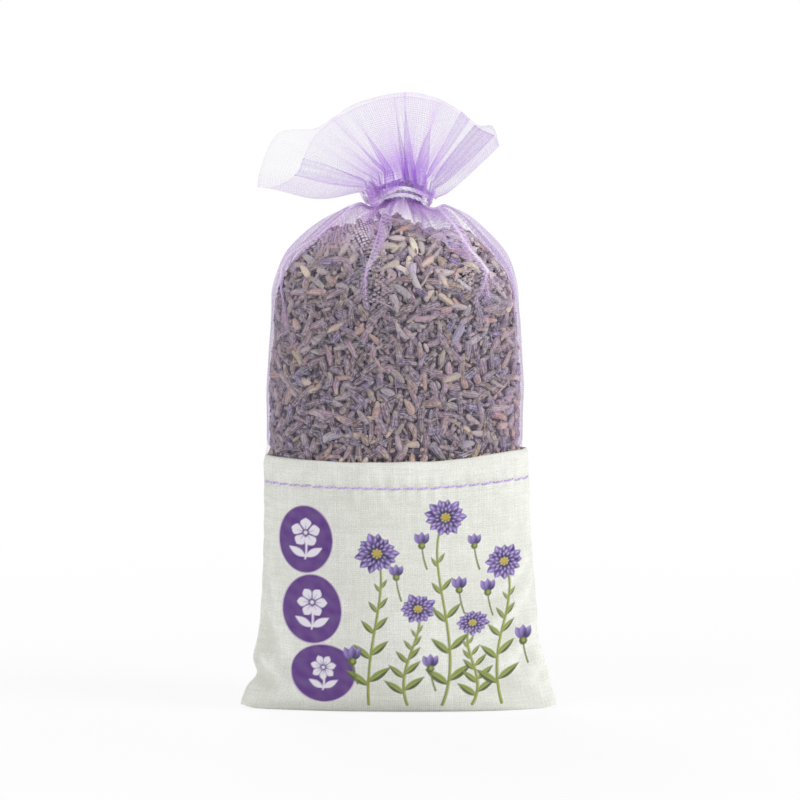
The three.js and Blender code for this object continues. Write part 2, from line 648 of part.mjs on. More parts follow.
// The mass itself, from just above the floor to a low dome under the pleats.
function fillMass() {
  const floor = LINEN_THICKNESS + CLEARANCE;
  const shoulder = NECK_FOOT * FILL_TOP_SHARE - FILL_DOME_RISE;
  const rings = spread(FILL_ROWS, 0, 1).map((share) => {
    const height = mix(floor, shoulder, share ** 1.2);
    return fillRing(height, height, 1);
  });
  FILL_DOME_SHARES.slice(1).forEach((scale, i) => {
    const z = shoulder + (FILL_DOME_RISE * (i + 1)) / (FILL_DOME_SHARES.length - 1);
    rings.push(fillRing(shoulder, z, scale));
  });
  return solid(loft(rings, fromAbove));
}

// Where a bud lies: its middle on the skin, its axis at a heading from level, and outwards.
function budFrame({ side, u, height, heading }, inset) {
  const out = outward(side, u, height, inset, organzaEdge);
  const across = new THREE.Vector3(0, 0, 1).cross(out).normalize();
  const up = out.clone().cross(across);
  const axis = across.clone().multiplyScalar(Math.cos(heading)).addScaledVector(up, Math.sin(heading));
  const turn = new THREE.Matrix4().makeBasis(axis.clone().cross(out), axis, out);
  return { middle: skin(side, u, height, inset, organzaEdge), axis, turn };
}

// The least distance between the axes of two buds.
const BUD_CHECKS = 6;
function budsApart(one, other) {
  const [points, spots] = [one, other].map(({ middle, axis }) =>
    spread(BUD_CHECKS, -0.5, 0.5).map((share) => middle.clone().addScaledVector(axis, share * BUD_LENGTH)));
  return Math.min(...points.flatMap((point) => spots.map((spot) => point.distanceTo(spot))));
}

// Buds of the mass that show through the organza: they lie half sunk in it, each turned until
// it is clear of the single buds, and left out where it can't be.
const SUNK_ROWS = 10;
const SUNK_A_ROW = 8;
const SUNK_LOW_RISE = 6;
const SUNK_TOP_SHARE = 0.88;
const SUNK_SIDE_SHARE = 0.1;
const SUNK_STAND = 0.65;
const SUNK_RADIUS = 1.1;
const SUNK_SIDES = 5;
const SUNK_TURNS = 5;
const SUNK_SHARES = [
  [-0.5, 0],
  [-0.25, 0.85],
  [0.22, 1],
  [0.5, 0],
];

function sunkInset(height) {
  const top = height + BUD_LENGTH / 2;
  const room = fillInset(height) - ORGANZA_THICKNESS - pleatDepth(top) - 2 * CLEARANCE;
  return fillInset(height) - Math.min(SUNK_STAND, room - SUNK_RADIUS);
}

function sunkBuds() {
  const outline = SUNK_SHARES.map(([along, out]) => new THREE.Vector2(out * SUNK_RADIUS, along * BUD_LENGTH));
  const singles = singleBuds().map((bud) => budFrame(bud, budInset));
  const room = SUNK_RADIUS + BUD_RADIUS + CLEARANCE;
  const sunk = [];
  for (const side of [FRONT, BACK])
    for (let row = 0; row < SUNK_ROWS; row++)
      for (let k = 0; k < SUNK_A_ROW; k++) {
        const stagger = (row % 2 ? 1 : -1) / (4 * SUNK_A_ROW);
        const u = mix(SUNK_SIDE_SHARE, 1 - SUNK_SIDE_SHARE, (k + 0.5) / SUNK_A_ROW + stagger);
        const height = mix(HEM_HEIGHT + SUNK_LOW_RISE, NECK_FOOT * SUNK_TOP_SHARE, row / (SUNK_ROWS - 1));
        const first = (row * SUNK_A_ROW + k) * GOLDEN_ANGLE;
        const places = Array.from({ length: SUNK_TURNS }, (_, turn) =>
          budFrame({ side, u, height, heading: first + (Math.PI * turn) / SUNK_TURNS }, sunkInset(height)));
        const clear = places.find((place) => singles.every((single) => budsApart(place, single) > room));
        if (clear) sunk.push(clear);
      }
  return sunk.map(({ middle, turn }) =>
    solid(new THREE.LatheGeometry(outline, SUNK_SIDES).applyMatrix4(turn).translate(middle.x, middle.y, middle.z)));
}

function lavenderFill() {
  const whole = sunkBuds().reduce((mass, bud) => mass.add(bud), fillMass());
  const bodies = whole.subtract(seamRoom()).decompose();
  return geometryOf(bodies.reduce((most, body) => (body.volume() > most.volume() ? body : most)));
}

// Single buds that lie against the organza, in staggered rows front and back.
const BUD_ROWS = 4;
const BUDS_A_ROW = 5;
const BUD_ROWS_RISE = 8;
const BUD_ROWS_TOP_SHARE = 0.8;
const BUD_SIDE_SHARE = 0.17;
const BUD_SIDES = 6;
const GOLDEN_ANGLE = Math.PI * (3 - Math.sqrt(5));
// A bud's calyx from its stalk end to its open tip: length share, radius share.
const BUD_SHARES = [
  [-0.5, 0],
  [-0.47, 0.42],
  [-0.15, 0.9],
  [0.2, 1],
  [0.42, 0.72],
  [0.5, 0],
];

function budGeometry() {
  const outline = BUD_SHARES.map(([along, out]) => new THREE.Vector2(out * BUD_RADIUS, along * BUD_LENGTH));
  return new THREE.LatheGeometry(outline, BUD_SIDES);
}

function singleBuds() {
  const places = [];
  for (const side of [FRONT, BACK])
    for (let row = 0; row < BUD_ROWS; row++)
      for (let k = 0; k < BUDS_A_ROW; k++) {
        const stagger = (row % 2 ? 1 : -1) / (4 * BUDS_A_ROW);
        const u = mix(BUD_SIDE_SHARE, 1 - BUD_SIDE_SHARE, (k + 0.5) / BUDS_A_ROW + stagger);
        const height = mix(HEM_HEIGHT + BUD_ROWS_RISE, NECK_FOOT * BUD_ROWS_TOP_SHARE, row / (BUD_ROWS - 1));
        places.push({ side, u, height, heading: (places.length + 1) * GOLDEN_ANGLE });
      }
  return places;
}

function lavenderBuds() {
  const group = new THREE.Group();
  singleBuds().forEach((place, i) => {
    const bud = piece("lavender_bud_" + String(i + 1).padStart(2, "0"), budGeometry(), buds);
    const { middle, turn } = budFrame(place, budInset);
    bud.position.copy(middle);
    bud.quaternion.setFromRotationMatrix(turn);
    group.add(bud);
  });
  return group;
}

// Assembly
function piece(name, geometry, material) {
  const mesh = new THREE.Mesh(geometry, material);
  mesh.name = name;
  return mesh;
}

const sachet = new THREE.Group();
sachet.name = "lavender_sachet";

sachet.add(piece("linen_front_panel", geometryOf(linenPanel(FRONT)), linen));
sachet.add(piece("linen_back_panel", geometryOf(linenPanel(BACK)), linen));
sachet.add(piece("organza_front_panel", geometryOf(organzaPanel(FRONT)), organza));
sachet.add(piece("organza_back_panel", geometryOf(organzaPanel(BACK)), organza));
sachet.add(piece("left_side_seam", sideSeam(-1), seamThread));
sachet.add(piece("right_side_seam", sideSeam(1), seamThread));
sachet.add(piece("bottom_seam", bottomSeam(), seamThread));
sachet.add(piece("hem_stitching_front", hemStitching(FRONT), lilacThread));
sachet.add(piece("hem_stitching_back", hemStitching(BACK), lilacThread));

const tieLine = tiePoints();
console.log("least gap of the tie to itself: " + leastGap(tieLine, TIE_DIAMETER).toFixed(2) + " mm");
sachet.add(piece("neck_tie", tube(tieLine, () => tieRadius, TIE_SIDES), tieRibbon));
const knotMiddle = tieLine[0].clone().lerp(tieLine.at(-1), 0.5).add(new THREE.Vector3(0, KNOT_STAND, 0));
sachet.add(piece("neck_tie_knot", tieKnot(knotMiddle), tieRibbon));

sachet.add(piece("lavender_fill", lavenderFill(), buds));
sachet.add(lavenderBuds());

export default sachet;
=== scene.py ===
"""A lavender sachet: a linen pocket, a fill of dried lavender, a sheer organza bag tied at its neck.

All shapes are worked out in millimetres and go into their meshes in metres. +Z is up, the front
faces -Y. The skin of the bag is the one that its CAD panels follow.
"""

import bpy
import numpy as np
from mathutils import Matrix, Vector


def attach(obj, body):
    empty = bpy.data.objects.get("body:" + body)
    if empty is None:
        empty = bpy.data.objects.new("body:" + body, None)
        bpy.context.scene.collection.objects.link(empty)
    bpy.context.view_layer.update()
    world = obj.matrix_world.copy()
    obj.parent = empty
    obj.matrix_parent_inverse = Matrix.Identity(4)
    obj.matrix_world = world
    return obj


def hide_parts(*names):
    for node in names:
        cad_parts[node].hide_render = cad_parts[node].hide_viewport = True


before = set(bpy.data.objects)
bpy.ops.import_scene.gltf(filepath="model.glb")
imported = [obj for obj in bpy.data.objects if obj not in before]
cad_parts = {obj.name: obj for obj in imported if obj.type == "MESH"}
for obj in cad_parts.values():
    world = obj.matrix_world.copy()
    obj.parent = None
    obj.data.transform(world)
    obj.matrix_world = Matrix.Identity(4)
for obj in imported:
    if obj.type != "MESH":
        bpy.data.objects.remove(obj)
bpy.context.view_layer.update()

# Linen pocket, front and back: plain-weave linen, undyed, about 0.4 mm thick. Each panel is cut
# with a seam allowance, its top edge is turned in as a 9 mm hem, and the two are sewn together
# along both sides and the bottom, with the seams inside.
FRONT, BACK = -1, 1
NECK_FOOT = 128.0
NECK_ARCH = 2.4  # how much higher the neck stands in front and behind than at its seams
HEM_HEIGHT = 64.4
HEM_DEPTH = 9.0
HEM_TURN = 0.42  # radius of the hem's folded edge, which starts this far below its top
PANEL_HALF = 40.5  # half of a panel's flat width between its seams
STITCH_LINE = HEM_HEIGHT - 6.5
STITCH_PITCH = 3.4
STITCH_START = 0.8
BAG_ROWS = np.array([
    # The bag's skin from the floor to the foot of the neck, in mm but for the first and fourth:
    # share of the height, half width, half depth, edge power, lean, pleat depth.
    [0, 40, 10.92, 1.2, 0, 0],
    [0.031, 38.98, 13.53, 1.3, 0.09, 0],
    [0.094, 36.6, 15.76, 1.4, 0.09, 0],
    [0.17, 35.21, 16.59, 1.35, 0.09, 0],
    [0.375, 33.61, 17, 1.25, -0.36, 0],
    [0.49, 33.3, 16.8, 1.2, -0.63, 0],
    [0.523, 32.38, 16.31, 1.15, -0.99, 0],
    [0.625, 32.49, 16.59, 1.08, -0.9, 0],
    [0.742, 31.7, 16.18, 1, -0.81, 0],
    [0.812, 30.99, 15.26, 1, -0.81, 0.17],
    [0.86, 29.6, 14.2, 1, -0.72, 1.05],
    [0.894, 27.9, 12.78, 1, -0.72, 2.31],
    [0.926, 25.01, 11, 1, -0.54, 3.44],
    [0.955, 21.3, 9, 1, -0.36, 4.2],
    [0.978, 16.51, 7.4, 1, -0.18, 3.99],
    [0.991, 11.51, 6, 1, 0.18, 3.36],
    [0.998, 8.01, 5, 1, 0.63, 2.52],
    [1, 6, 4.6, 1, 0.9, 2.02],
])
WIDE, DEEP, POWER, LEAN, PLEAT = range(1, 6)


def ease(x):
    """0 below 0, 1 above 1, and 3x² - 2x³ between."""
    x = np.clip(x, 0, 1)
    return x * x * (3 - 2 * x)


def bag(column, height):
    """A column of the table at a height: a cubic between its rows whose slopes never overshoot."""
    x, y = BAG_ROWS[:, 0], BAG_ROWS[:, column]
    rise = np.concatenate([[0], np.diff(y) / np.diff(x), [0]])
    below, above = rise[:-1], rise[1:]
    level = below * above <= 0
    slope = np.where(level, 0, 2 * below * above / np.where(level, 1, below + above))
    at = np.clip(height / NECK_FOOT, 0, 1)
    i = np.clip(np.searchsorted(x, at, side="right") - 1, 0, len(x) - 2)
    span = x[i + 1] - x[i]
    t = (at - x[i]) / span
    low, high = slope[i] * span, slope[i + 1] * span
    return y[i] + (y[i + 1] - y[i]) * ease(t) + t * (1 - t) ** 2 * low + t * t * (t - 1) * high


def skin(side, u, height, inset=0.0, edge=0.05):
    """The bag's skin, moved in by inset: half an ellipse from the left seam, u = 0, to the right
    one, u = 1, whose ends are sharpened by a power of the sine. Seam corners lift off the floor,
    and the neck arches up at the front and back."""
    u, height, inset = np.broadcast_arrays(*np.atleast_1d(u, height, inset))
    swing = np.pi * np.clip(u, 0, 1)
    sine = np.clip(np.sin(swing), 0, 1)
    x = bag(LEAN, height) - (bag(WIDE, height) - inset) * np.cos(swing)
    y = side * (edge + (bag(DEEP, height) - inset - edge) * sine ** bag(POWER, height))
    corner = 0.6 * ease((np.abs(np.cos(swing)) - 0.9) / 0.1) * (1 - ease(height / 7))
    arch = NECK_ARCH * (sine ** 2 - 0.5) * ease((height / NECK_FOOT - 0.96) / 0.04)
    return np.stack([x, y, height + corner + arch], axis=-1)


def outwards(points):
    """The unit normals of a grid of points, rows first, from the cross product of its slopes."""
    across = np.gradient(points, axis=1)
    up = np.gradient(points, axis=0)
    normal = np.cross(across, up)
    return normal / np.maximum(np.linalg.norm(normal, axis=-1, keepdims=True), 1e-9)


def ripple(points, size, seed):
    """Smooth noise of about -1 to 1: the mean of 12 sine waves of random direction and phase,
    each about size long."""
    random = np.random.default_rng(seed)
    total = 0
    for _ in range(12):
        way = random.normal(size=points.shape[-1])
        way *= 2 * np.pi / (size * random.uniform(0.7, 1.5) * np.linalg.norm(way))
        total = total + np.sin(points @ way + random.uniform(0, 2 * np.pi))
    return total / 12 * 2.2


def even_shares(side, height, count):
    """The values of u that part the skin at a height into equal lengths of cloth."""
    u = np.linspace(0, 1, 2000)
    steps = np.linalg.norm(np.diff(skin(side, u, height), axis=0), axis=1)
    run = np.concatenate([[0], np.cumsum(steps)])
    return np.interp(np.linspace(0, run[-1], count), run, u)


def cloth(name, grids, material):
    """One mesh from grids of points in mm, each given with the cloth coordinates of its points
    in mm for its UV map, and with the colours of its points if it has any."""
    points, cloths, quads, colours, start = [], [], [], [], 0
    for grid, flat, *ink in grids:
        rows, columns = grid.shape[:2]
        i = start + np.arange(rows * columns).reshape(rows, columns)
        quads.append(np.stack([i[:-1, :-1], i[:-1, 1:], i[1:, 1:], i[1:, :-1]], axis=-1).reshape(-1, 4))
        points.append(grid.reshape(-1, 3))
        cloths.append(flat.reshape(-1, 2))
        colours.append(ink[0].reshape(-1, 4) if ink else np.zeros((rows * columns, 4)))
        start += rows * columns
    points, cloths, quads, colours = map(np.concatenate, (points, cloths, quads, colours))
    mesh = bpy.data.meshes.new(name)
    mesh.vertices.add(len(points))
    mesh.vertices.foreach_set("co", (points / 1000).ravel())
    mesh.loops.add(quads.size)
    mesh.loops.foreach_set("vertex_index", quads.ravel())
    mesh.polygons.add(len(quads))
    mesh.polygons.foreach_set("loop_start", np.arange(0, quads.size, 4))
    mesh.polygons.foreach_set("use_smooth", np.ones(len(quads), bool))
    mesh.update(calc_edges=True)
    mesh.uv_layers.new(name="cloth_mm").data.foreach_set("uv", cloths[quads.ravel()].ravel())
    mesh.color_attributes.new("tint", "FLOAT_COLOR", "POINT").data.foreach_set("color", colours.ravel())
    mesh.materials.append(material)
    piece = bpy.data.objects.new(name, mesh)
    bpy.context.collection.objects.link(piece)
    return piece


def linear(colour):
    """An sRGB hex colour as linear red, green, blue and an alpha of 1."""
    srgb = [int(colour[i:i + 2], 16) / 255 for i in (1, 3, 5)]
    return [c / 12.92 if c <= 0.04045 else ((c + 0.055) / 1.055) ** 2.4 for c in srgb] + [1]


def add(nodes, kind, inputs=(), stops=(), **settings):
    """A node with its settings, its inputs and the two stops of its ramp, if it has one. An input
    is a value, or the socket that it is linked to."""
    node = nodes.new("ShaderNode" + kind)
    for key, value in settings.items():
        setattr(node, key, value)
    for key, value in dict(inputs).items():
        if isinstance(value, bpy.types.NodeSocket):
            nodes.id_data.links.new(value, node.inputs[key])
        else:
            node.inputs[key].default_value = value
    for k, (place, colour) in enumerate(stops):
        stop = node.color_ramp.elements[k]
        stop.position, stop.color = place, linear(colour)
    return node


def material(name):
    """A new node material with its node list, empty but for its output."""
    new = bpy.data.materials.new(name)
    new.use_nodes = True
    new.node_tree.nodes.clear()
    return new, new.node_tree.nodes


# Undyed plain-weave linen: matt, off-white, with threads of uneven thickness that show as fine
# crossing lines and a few slubs. The print is dye in the threads, so the weave shows through it.
linen, nodes = material("undyed plain-weave linen")
at = add(nodes, "UVMap", uv_map="cloth_mm").outputs["UV"]
# A wave texture's bands lie 0.314 / scale apart. The threads lie 0.45 mm apart, and wander. Real
# ones lie 0.3 mm apart, which is too fine to show. Their thick places, the slubs, are drawn out
# along them.
threads = {"Vector": at, "Scale": 0.7, "Distortion": 2.6, "Detail": 2, "Detail Scale": 0.9}
bands, thick = [], []
for way, drawn in (("X", (1, 0.07, 1)), ("Y", (0.07, 1, 1))):
    bands.append(add(nodes, "TexWave", threads, bands_direction=way).outputs["Fac"])
    along = add(nodes, "Mapping", {"Vector": at, "Scale": drawn}).outputs["Vector"]
    thick.append(add(nodes, "TexNoise", {"Vector": along, "Scale": 1.6, "Detail": 2}).outputs["Fac"])
cross, slubs = [
    add(nodes, "Math", {0: one, 1: other}, operation="ADD").outputs[0] for one, other in (bands, thick)
]
fuzz, cloud = [
    add(nodes, "TexNoise", {"Vector": at, "Scale": scale, "Detail": 2}).outputs["Fac"]
    for scale in (2.4, 0.3)
]
weave = add(nodes, "Math", {0: cross, 1: 0.55}, operation="MULTIPLY").outputs[0]
for part, weight in ((slubs, 1.2), (fuzz, 2.8), (cloud, 1.2)):
    weave = add(nodes, "Math", {0: part, 1: weight, 2: weave}, operation="MULTIPLY_ADD").outputs[0]
weave = add(nodes, "MapRange", {"Value": weave, "From Min": 2.5, "From Max": 5.1}).outputs[0]
# The print is in the tint's colour and alpha. An alpha below 0 is painted shade on bare cloth:
# the hollows of its creases are painted darker.
ink = add(nodes, "Attribute", attribute_name="tint")
depth = add(nodes, "Math", {0: ink.outputs["Alpha"], 1: 0.0}, operation="MINIMUM").outputs[0]
# Painted shade in the hollows of the creases moves the linen's tone darker.
crease_shaded = add(nodes, "Math", {0: depth, 1: 0.55, 2: weave}, operation="MULTIPLY_ADD").outputs[0]
tone = add(nodes, "ValToRGB", {"Fac": crease_shaded}, ((0.1, "#d4d5cb"), (0.85, "#f3f4ed"))).outputs["Color"]
grip = add(nodes, "MapRange", {"Value": weave, "To Min": 0.95, "To Max": 1.0}).outputs[0]
cover = add(nodes, "Math", {0: ink.outputs["Alpha"], 1: grip}, operation="MULTIPLY").outputs[0]
dyed = add(nodes, "Mix", {"Factor": 0.1, "A": ink.outputs["Color"], "B": tone},
           data_type="RGBA", blend_type="MULTIPLY").outputs["Result"]
colour = add(nodes, "Mix", {"Factor": cover, "A": tone, "B": dyed},
             data_type="RGBA").outputs["Result"]
bump = add(nodes, "Bump", {"Height": weave, "Strength": 0.22, "Distance": 0.0001}).outputs["Normal"]
body = add(nodes, "BsdfPrincipled", {
    "Base Color": colour, "Roughness": 0.92, "Normal": bump, "Specular IOR Level": 0.25,
    "Sheen Weight": 0.04, "Sheen Roughness": 0.6,
})
add(nodes, "OutputMaterial", {"Surface": body.outputs[0]})


def stitch_run(side, u):
    """How many mm along the hem's stitch line lie before each share u of the skin."""
    fine = np.linspace(0, 1, 3000)
    steps = np.linalg.norm(np.diff(skin(side, fine, STITCH_LINE), axis=0), axis=1)
    return np.interp(u, fine, np.concatenate([[0], np.cumsum(steps)]))


def linen_wall(side, columns, rows):
    """The outside of a linen panel: the skin, rolled under at its foot, pushed in and out by
    creases. Its hem swells a little above the stitch line and is drawn in along it. A last half
    circle of small radius turns the cloth over at the top, and its end runs down inside. Gives
    the points, their places on the flat cloth, and how much painted shade the hollows of their
    creases get, 0 to 1."""
    u = even_shares(side, 40, columns)[::-side]
    under_the_bag = np.array([0, 0.25, 0.5, 0.72])
    top = HEM_HEIGHT - HEM_TURN - 0.03
    heights = top * np.linspace(0.002, 1, rows)
    sole = skin(side, u, 0.0)[None]
    under = sole * np.array([1, 0, 1]) + sole * np.array([0, 1, 0]) * under_the_bag[:, None, None]
    wall = skin(side, u[None], heights[:, None])
    # The foot rolls under, with a radius of 2.8 mm that narrows to 1.2 mm at the right corner.
    radius = 2.8 - 1.6 * ease((wall[..., 0] - 8) / 26)
    low = np.clip(1 - wall[..., 2] / radius, 0, 1)
    wall[..., 1] *= 1 - radius / 11.2 * (1 - np.sqrt(1 - low ** 2))
    turn = np.pi * np.linspace(0.2, 1, 5)
    play = 0.03 * turn / np.pi
    over_u = play[:, None] + (1 - 2 * play[:, None]) * u[None]
    rise, drawn_in = HEM_TURN * np.sin(turn)[:, None], HEM_TURN * (1 - np.cos(turn))[:, None]
    over = skin(side, over_u, top + rise, drawn_in)
    inside_u = 0.03 + 0.94 * u[None]
    inside = skin(side, inside_u, np.linspace(62, HEM_HEIGHT - HEM_DEPTH, 4)[:, None], 2 * HEM_TURN)
    grid = np.concatenate([under, wall, over, inside])
    x, z = grid[..., 0], grid[..., 2]
    flat_x = np.broadcast_to(np.linspace(-PANEL_HALF, PANEL_HALF, columns)[::-side], x.shape)
    row = np.arange(len(grid))
    outer = ease((row - 3) / 6) * (row < len(under) + rows + 3)
    inner = ease((PANEL_HALF - np.abs(flat_x)) / 1.8)
    creases = linen_creases(side, flat_x, z, stitch_run(side, u)[None])
    grid = grid + outwards(grid) * (creases * outer[:, None] * inner)[..., None]
    grid[..., 0] += side_edges(flat_x, z)
    grid[..., 2] += hem_rise(x, z)
    run = np.concatenate([
        -8 * (1 - under_the_bag / 0.84), heights, HEM_HEIGHT + 0.3 * turn, 66 + np.linspace(2, 9, 4),
    ])
    # Painted shade: the hollows of the creases are painted darker, and flat cloth a little too.
    crease_shade = np.clip(0.25 - 0.7 * creases, 0, 1) * outer[:, None]
    return grid, np.stack([flat_x, np.broadcast_to(run[:, None], x.shape)], axis=-1), crease_shade


def hem_rise(x, z):
    """How far in mm the hem climbs towards its right end."""
    return 1.8 * ease((x - 4) / 28) * ease((z - 50) / 14)


def side_edges(x, z):
    """Shifts across in mm that give each side edge its own line: a notch over the left corner, a
    fuller right side, and a slight wave. They fade towards the middle of the panel."""
    left = 1.5 * np.exp(-((z - 8.4) / 2.3) ** 2) - 0.5 * np.exp(-((z - 14) / 3) ** 2)
    left = left + 0.06 * np.sin(z * 0.9)
    right = 0.5 * np.exp(-((z - 11) / 3) ** 2) - 0.4 * np.exp(-((z - 19) / 4) ** 2)
    right = right + 0.06 * np.sin(z * 0.8 + 1)
    edge = ease((np.abs(x) - 27) / 13) * ease(z / 2)
    return np.where(x < 0, left, right) * edge


CREASES = (
    # across, height, half length in mm, slope in radians, depth in mm
    (30.5, 34, 9, 0.65, 0.7), (28, 25, 11, 0.65, 0.95), (32.5, 17, 9, 0.6, 0.85), (33, 9, 7, 0.6, 0.7),
    (22, 10, 9, 0.5, 0.5), (-35, 33, 7, 2.0, 0.5), (-34.5, 24, 8, 2.2, 0.7), (-34, 12, 7, 2.6, 0.8),
    (-29, 20, 8, 2.2, 0.4),
)


def linen_creases(side, x, z, stitches):
    """Offsets in mm: folds that run from both side edges down towards the middle, faint ones out
    to the bottom corners, short puckers off both side seams, a drawn-in line with a pucker at
    each stitch, and soft uneven rumples."""
    at = np.stack([x, z, np.full_like(x, 7.0 * side)], axis=-1)
    rumple = 0.3 * ripple(at, 26, 11 + side) + 0.07 * ripple(at, 8, 21 + side)
    corner = np.zeros_like(x)
    for hand in (-1, 1):
        dx, dz = hand * 40 - x, z - 1
        far = np.hypot(dx, dz)
        angle = np.arctan2(dz, dx * hand)
        fan = np.sin(angle * 9 + hand * 1.3 + 0.02 * far) * np.exp(-((far - 15) / 12) ** 2)
        corner += 0.3 * fan * ease((far - 4) / 8)
    from_seam = PANEL_HALF - np.abs(x)
    diagonal = 0.0
    for cx, cz, length, angle, depth in CREASES:
        along = (x - cx) * np.cos(angle) + (z - cz) * np.sin(angle)
        off = -(x - cx) * np.sin(angle) + (z - cz) * np.cos(angle)
        ridge = np.exp(-(off / 1.6) ** 2) - 0.6 * np.exp(-((off - 3.4) / 2.6) ** 2)
        diagonal = diagonal + depth * ridge * np.exp(-(along / length) ** 2) * ease(from_seam / 6)
    gathers = np.sin(z * 2 * np.pi / 3.1 + 1.5 * np.sin(z * 0.35))
    pucker = 0.2 * np.exp(-from_seam / 3.2) * gathers * ease(z / 9)
    from_line = z - STITCH_LINE
    turn = 2 * np.pi * (stitches - STITCH_START) / STITCH_PITCH
    pinch = -0.3 * np.exp(-(from_line / 0.8) ** 2) * (0.65 + 0.35 * np.cos(turn))
    drag = 0.1 * np.exp(-(from_line / 3) ** 2) * np.sin(turn + 0.25 * from_line)
    swell = 0.24 * np.exp(-((from_line - 3.4) / 2.4) ** 2)
    swell = swell * (1 + 0.5 * np.sin(x * 0.24) + 0.4 * np.sin(x * 0.61))
    return rumple + corner + diagonal + pucker + pinch + drag + swell


def paint(canvas, cover, colour):
    """Lays a colour over a canvas of red, green, blue and cover, as thickly as cover says."""
    cover = np.clip(cover, 0, 1)
    shade = colour if isinstance(colour, np.ndarray) else np.array(linear(colour)[:3])
    thick = np.maximum(canvas[..., 3], cover)
    mixing = np.where(thick > 0, cover / np.maximum(thick, 1e-6), 0)[..., None]
    canvas[..., :3] = canvas[..., :3] * (1 - mixing) + shade * mixing
    canvas[..., 3] = thick


def blend(dark, pale, share):
    """Colours between two hex colours, by a share at each point."""
    share = np.clip(share, 0, 1)[..., None]
    return np.array(linear(dark)[:3]) * (1 - share) + np.array(linear(pale)[:3]) * share


SOFT = 0.26  # how wide in mm the edge of a printed shape fades


def oval(x, z, cx, cz, rx, rz):
    """1 and more inside an ellipse, 0 and less outside it."""
    far = np.hypot((x - cx) / rx, (z - cz) / rz)
    return 0.5 - (far - 1) * np.minimum(rx, rz) / SOFT


def blade(x, z, cx, cz, angle, length, width, fullest=0.8):
    """A leaf or petal that starts at a point and grows along an angle: its half width is a sine
    arch over a power of its length. Gives cover, share along, and mm off its midrib."""
    along = ((x - cx) * np.cos(angle) + (z - cz) * np.sin(angle)) / length
    off = -(x - cx) * np.sin(angle) + (z - cz) * np.cos(angle)
    half = 0.5 * width * np.sin(np.pi * np.clip(along, 0, 1) ** fullest)
    return np.where((along > 0) & (along < 1), 0.5 + (half - np.abs(off)) / SOFT, 0), along, off


def stalk(x, z, points, width):
    """Cover within half a width of a polynomial curve through a few points, finer towards its
    end. Also gives the curve."""
    order = len(points) - 1
    knots, fine = np.linspace(0, 1, order + 1), np.linspace(0, 1, 140)
    rows = np.array(points, float).T
    curve = np.stack([np.polyval(np.polyfit(knots, row, order), fine) for row in rows], axis=-1)
    least = np.full(x.shape, 1e9)
    for share, (px, pz) in zip(fine, curve):
        least = np.minimum(least, np.hypot(x - px, z - pz) + 0.15 * width * share)
    return 0.5 + (width / 2 - least) / SOFT, curve


def blossom(canvas, x, z, cx, cz, size, petals, tilt, seed):
    """A round meadow flower: three rings of narrow petals from the outside in, each dark at its
    foot and along one edge and pale at its tip, then a heart with a ring of pale dots."""
    random = np.random.default_rng(seed)
    up = cz + (z - cz) / tilt
    for ring, reach in enumerate((1.0, 0.82, 0.56)):
        for k in range(petals):
            angle = 2 * np.pi * (k + 0.5 * ring + random.uniform(-0.12, 0.12)) / petals
            length = size * reach * random.uniform(0.88, 1.08)
            cover, along, off = blade(x, up, cx, cz, angle, length, 5.0 * length / petals, 1.6)
            light = 1.2 * np.clip(along, 0, 1) ** 1.8 - 0.1 * ring + random.uniform(-0.3, 0.05)
            light = light + 0.35 * np.tanh(3 * off)
            shade = blend("#2e1b5c", "#957ac8", light) * (0.45 + 0.55 * ease(cover / 2.2))[..., None]
            paint(canvas, cover, shade)
            glint = np.exp(-((along - 0.78) / 0.12) ** 2) * np.exp(-((off - 0.12) / 0.16) ** 2)
            paint(canvas, np.minimum(cover, 0.75 * glint), "#d9cbef")
    paint(canvas, oval(x, up, cx, cz, 0.24 * size, 0.24 * size), "#6a5c26")
    paint(canvas, oval(x, up, cx, cz + 0.1, 0.17 * size, 0.15 * size), "#b59f3c")
    for angle in 2 * np.pi * np.arange(8) / 8:
        dot_x, dot_z = cx + 0.2 * size * np.cos(angle), cz + 0.2 * size * np.sin(angle)
        paint(canvas, oval(x, up, dot_x, dot_z, 0.2, 0.2), "#dccf86")


def white_flower(canvas, x, z, cx, cz, size, petals, turn):
    """A plain round flower left white in a dark oval, over a short stalk with two leaves."""
    pale = "#e9e4ee"
    stem = ((cx, cz - 0.4 * size), (cx + 0.2, cz - 1.05 * size), (cx - 0.1, cz - 1.75 * size))
    paint(canvas, stalk(x, z, stem, 0.62)[0], pale)
    for angle in (np.pi / 2 + 1.05, np.pi / 2 - 1.05):
        paint(canvas, blade(x, z, cx, cz - 1.62 * size, angle, 1.3 * size, 0.5 * size, 0.9)[0], pale)
    for angle in turn + 2 * np.pi * np.arange(petals) / petals:
        paint(canvas, blade(x, z, cx, cz, angle, size, 3.7 * size / petals, 1.7)[0], pale)
        paint(canvas, 0.6 * blade(x, z, cx, cz, angle, 0.62 * size, 0.3, 1)[0], "#8f78b0")
    paint(canvas, oval(x, z, cx, cz, 0.24 * size, 0.24 * size), "#5d4282")
    paint(canvas, oval(x, z, cx, cz, 0.13 * size, 0.13 * size), pale)


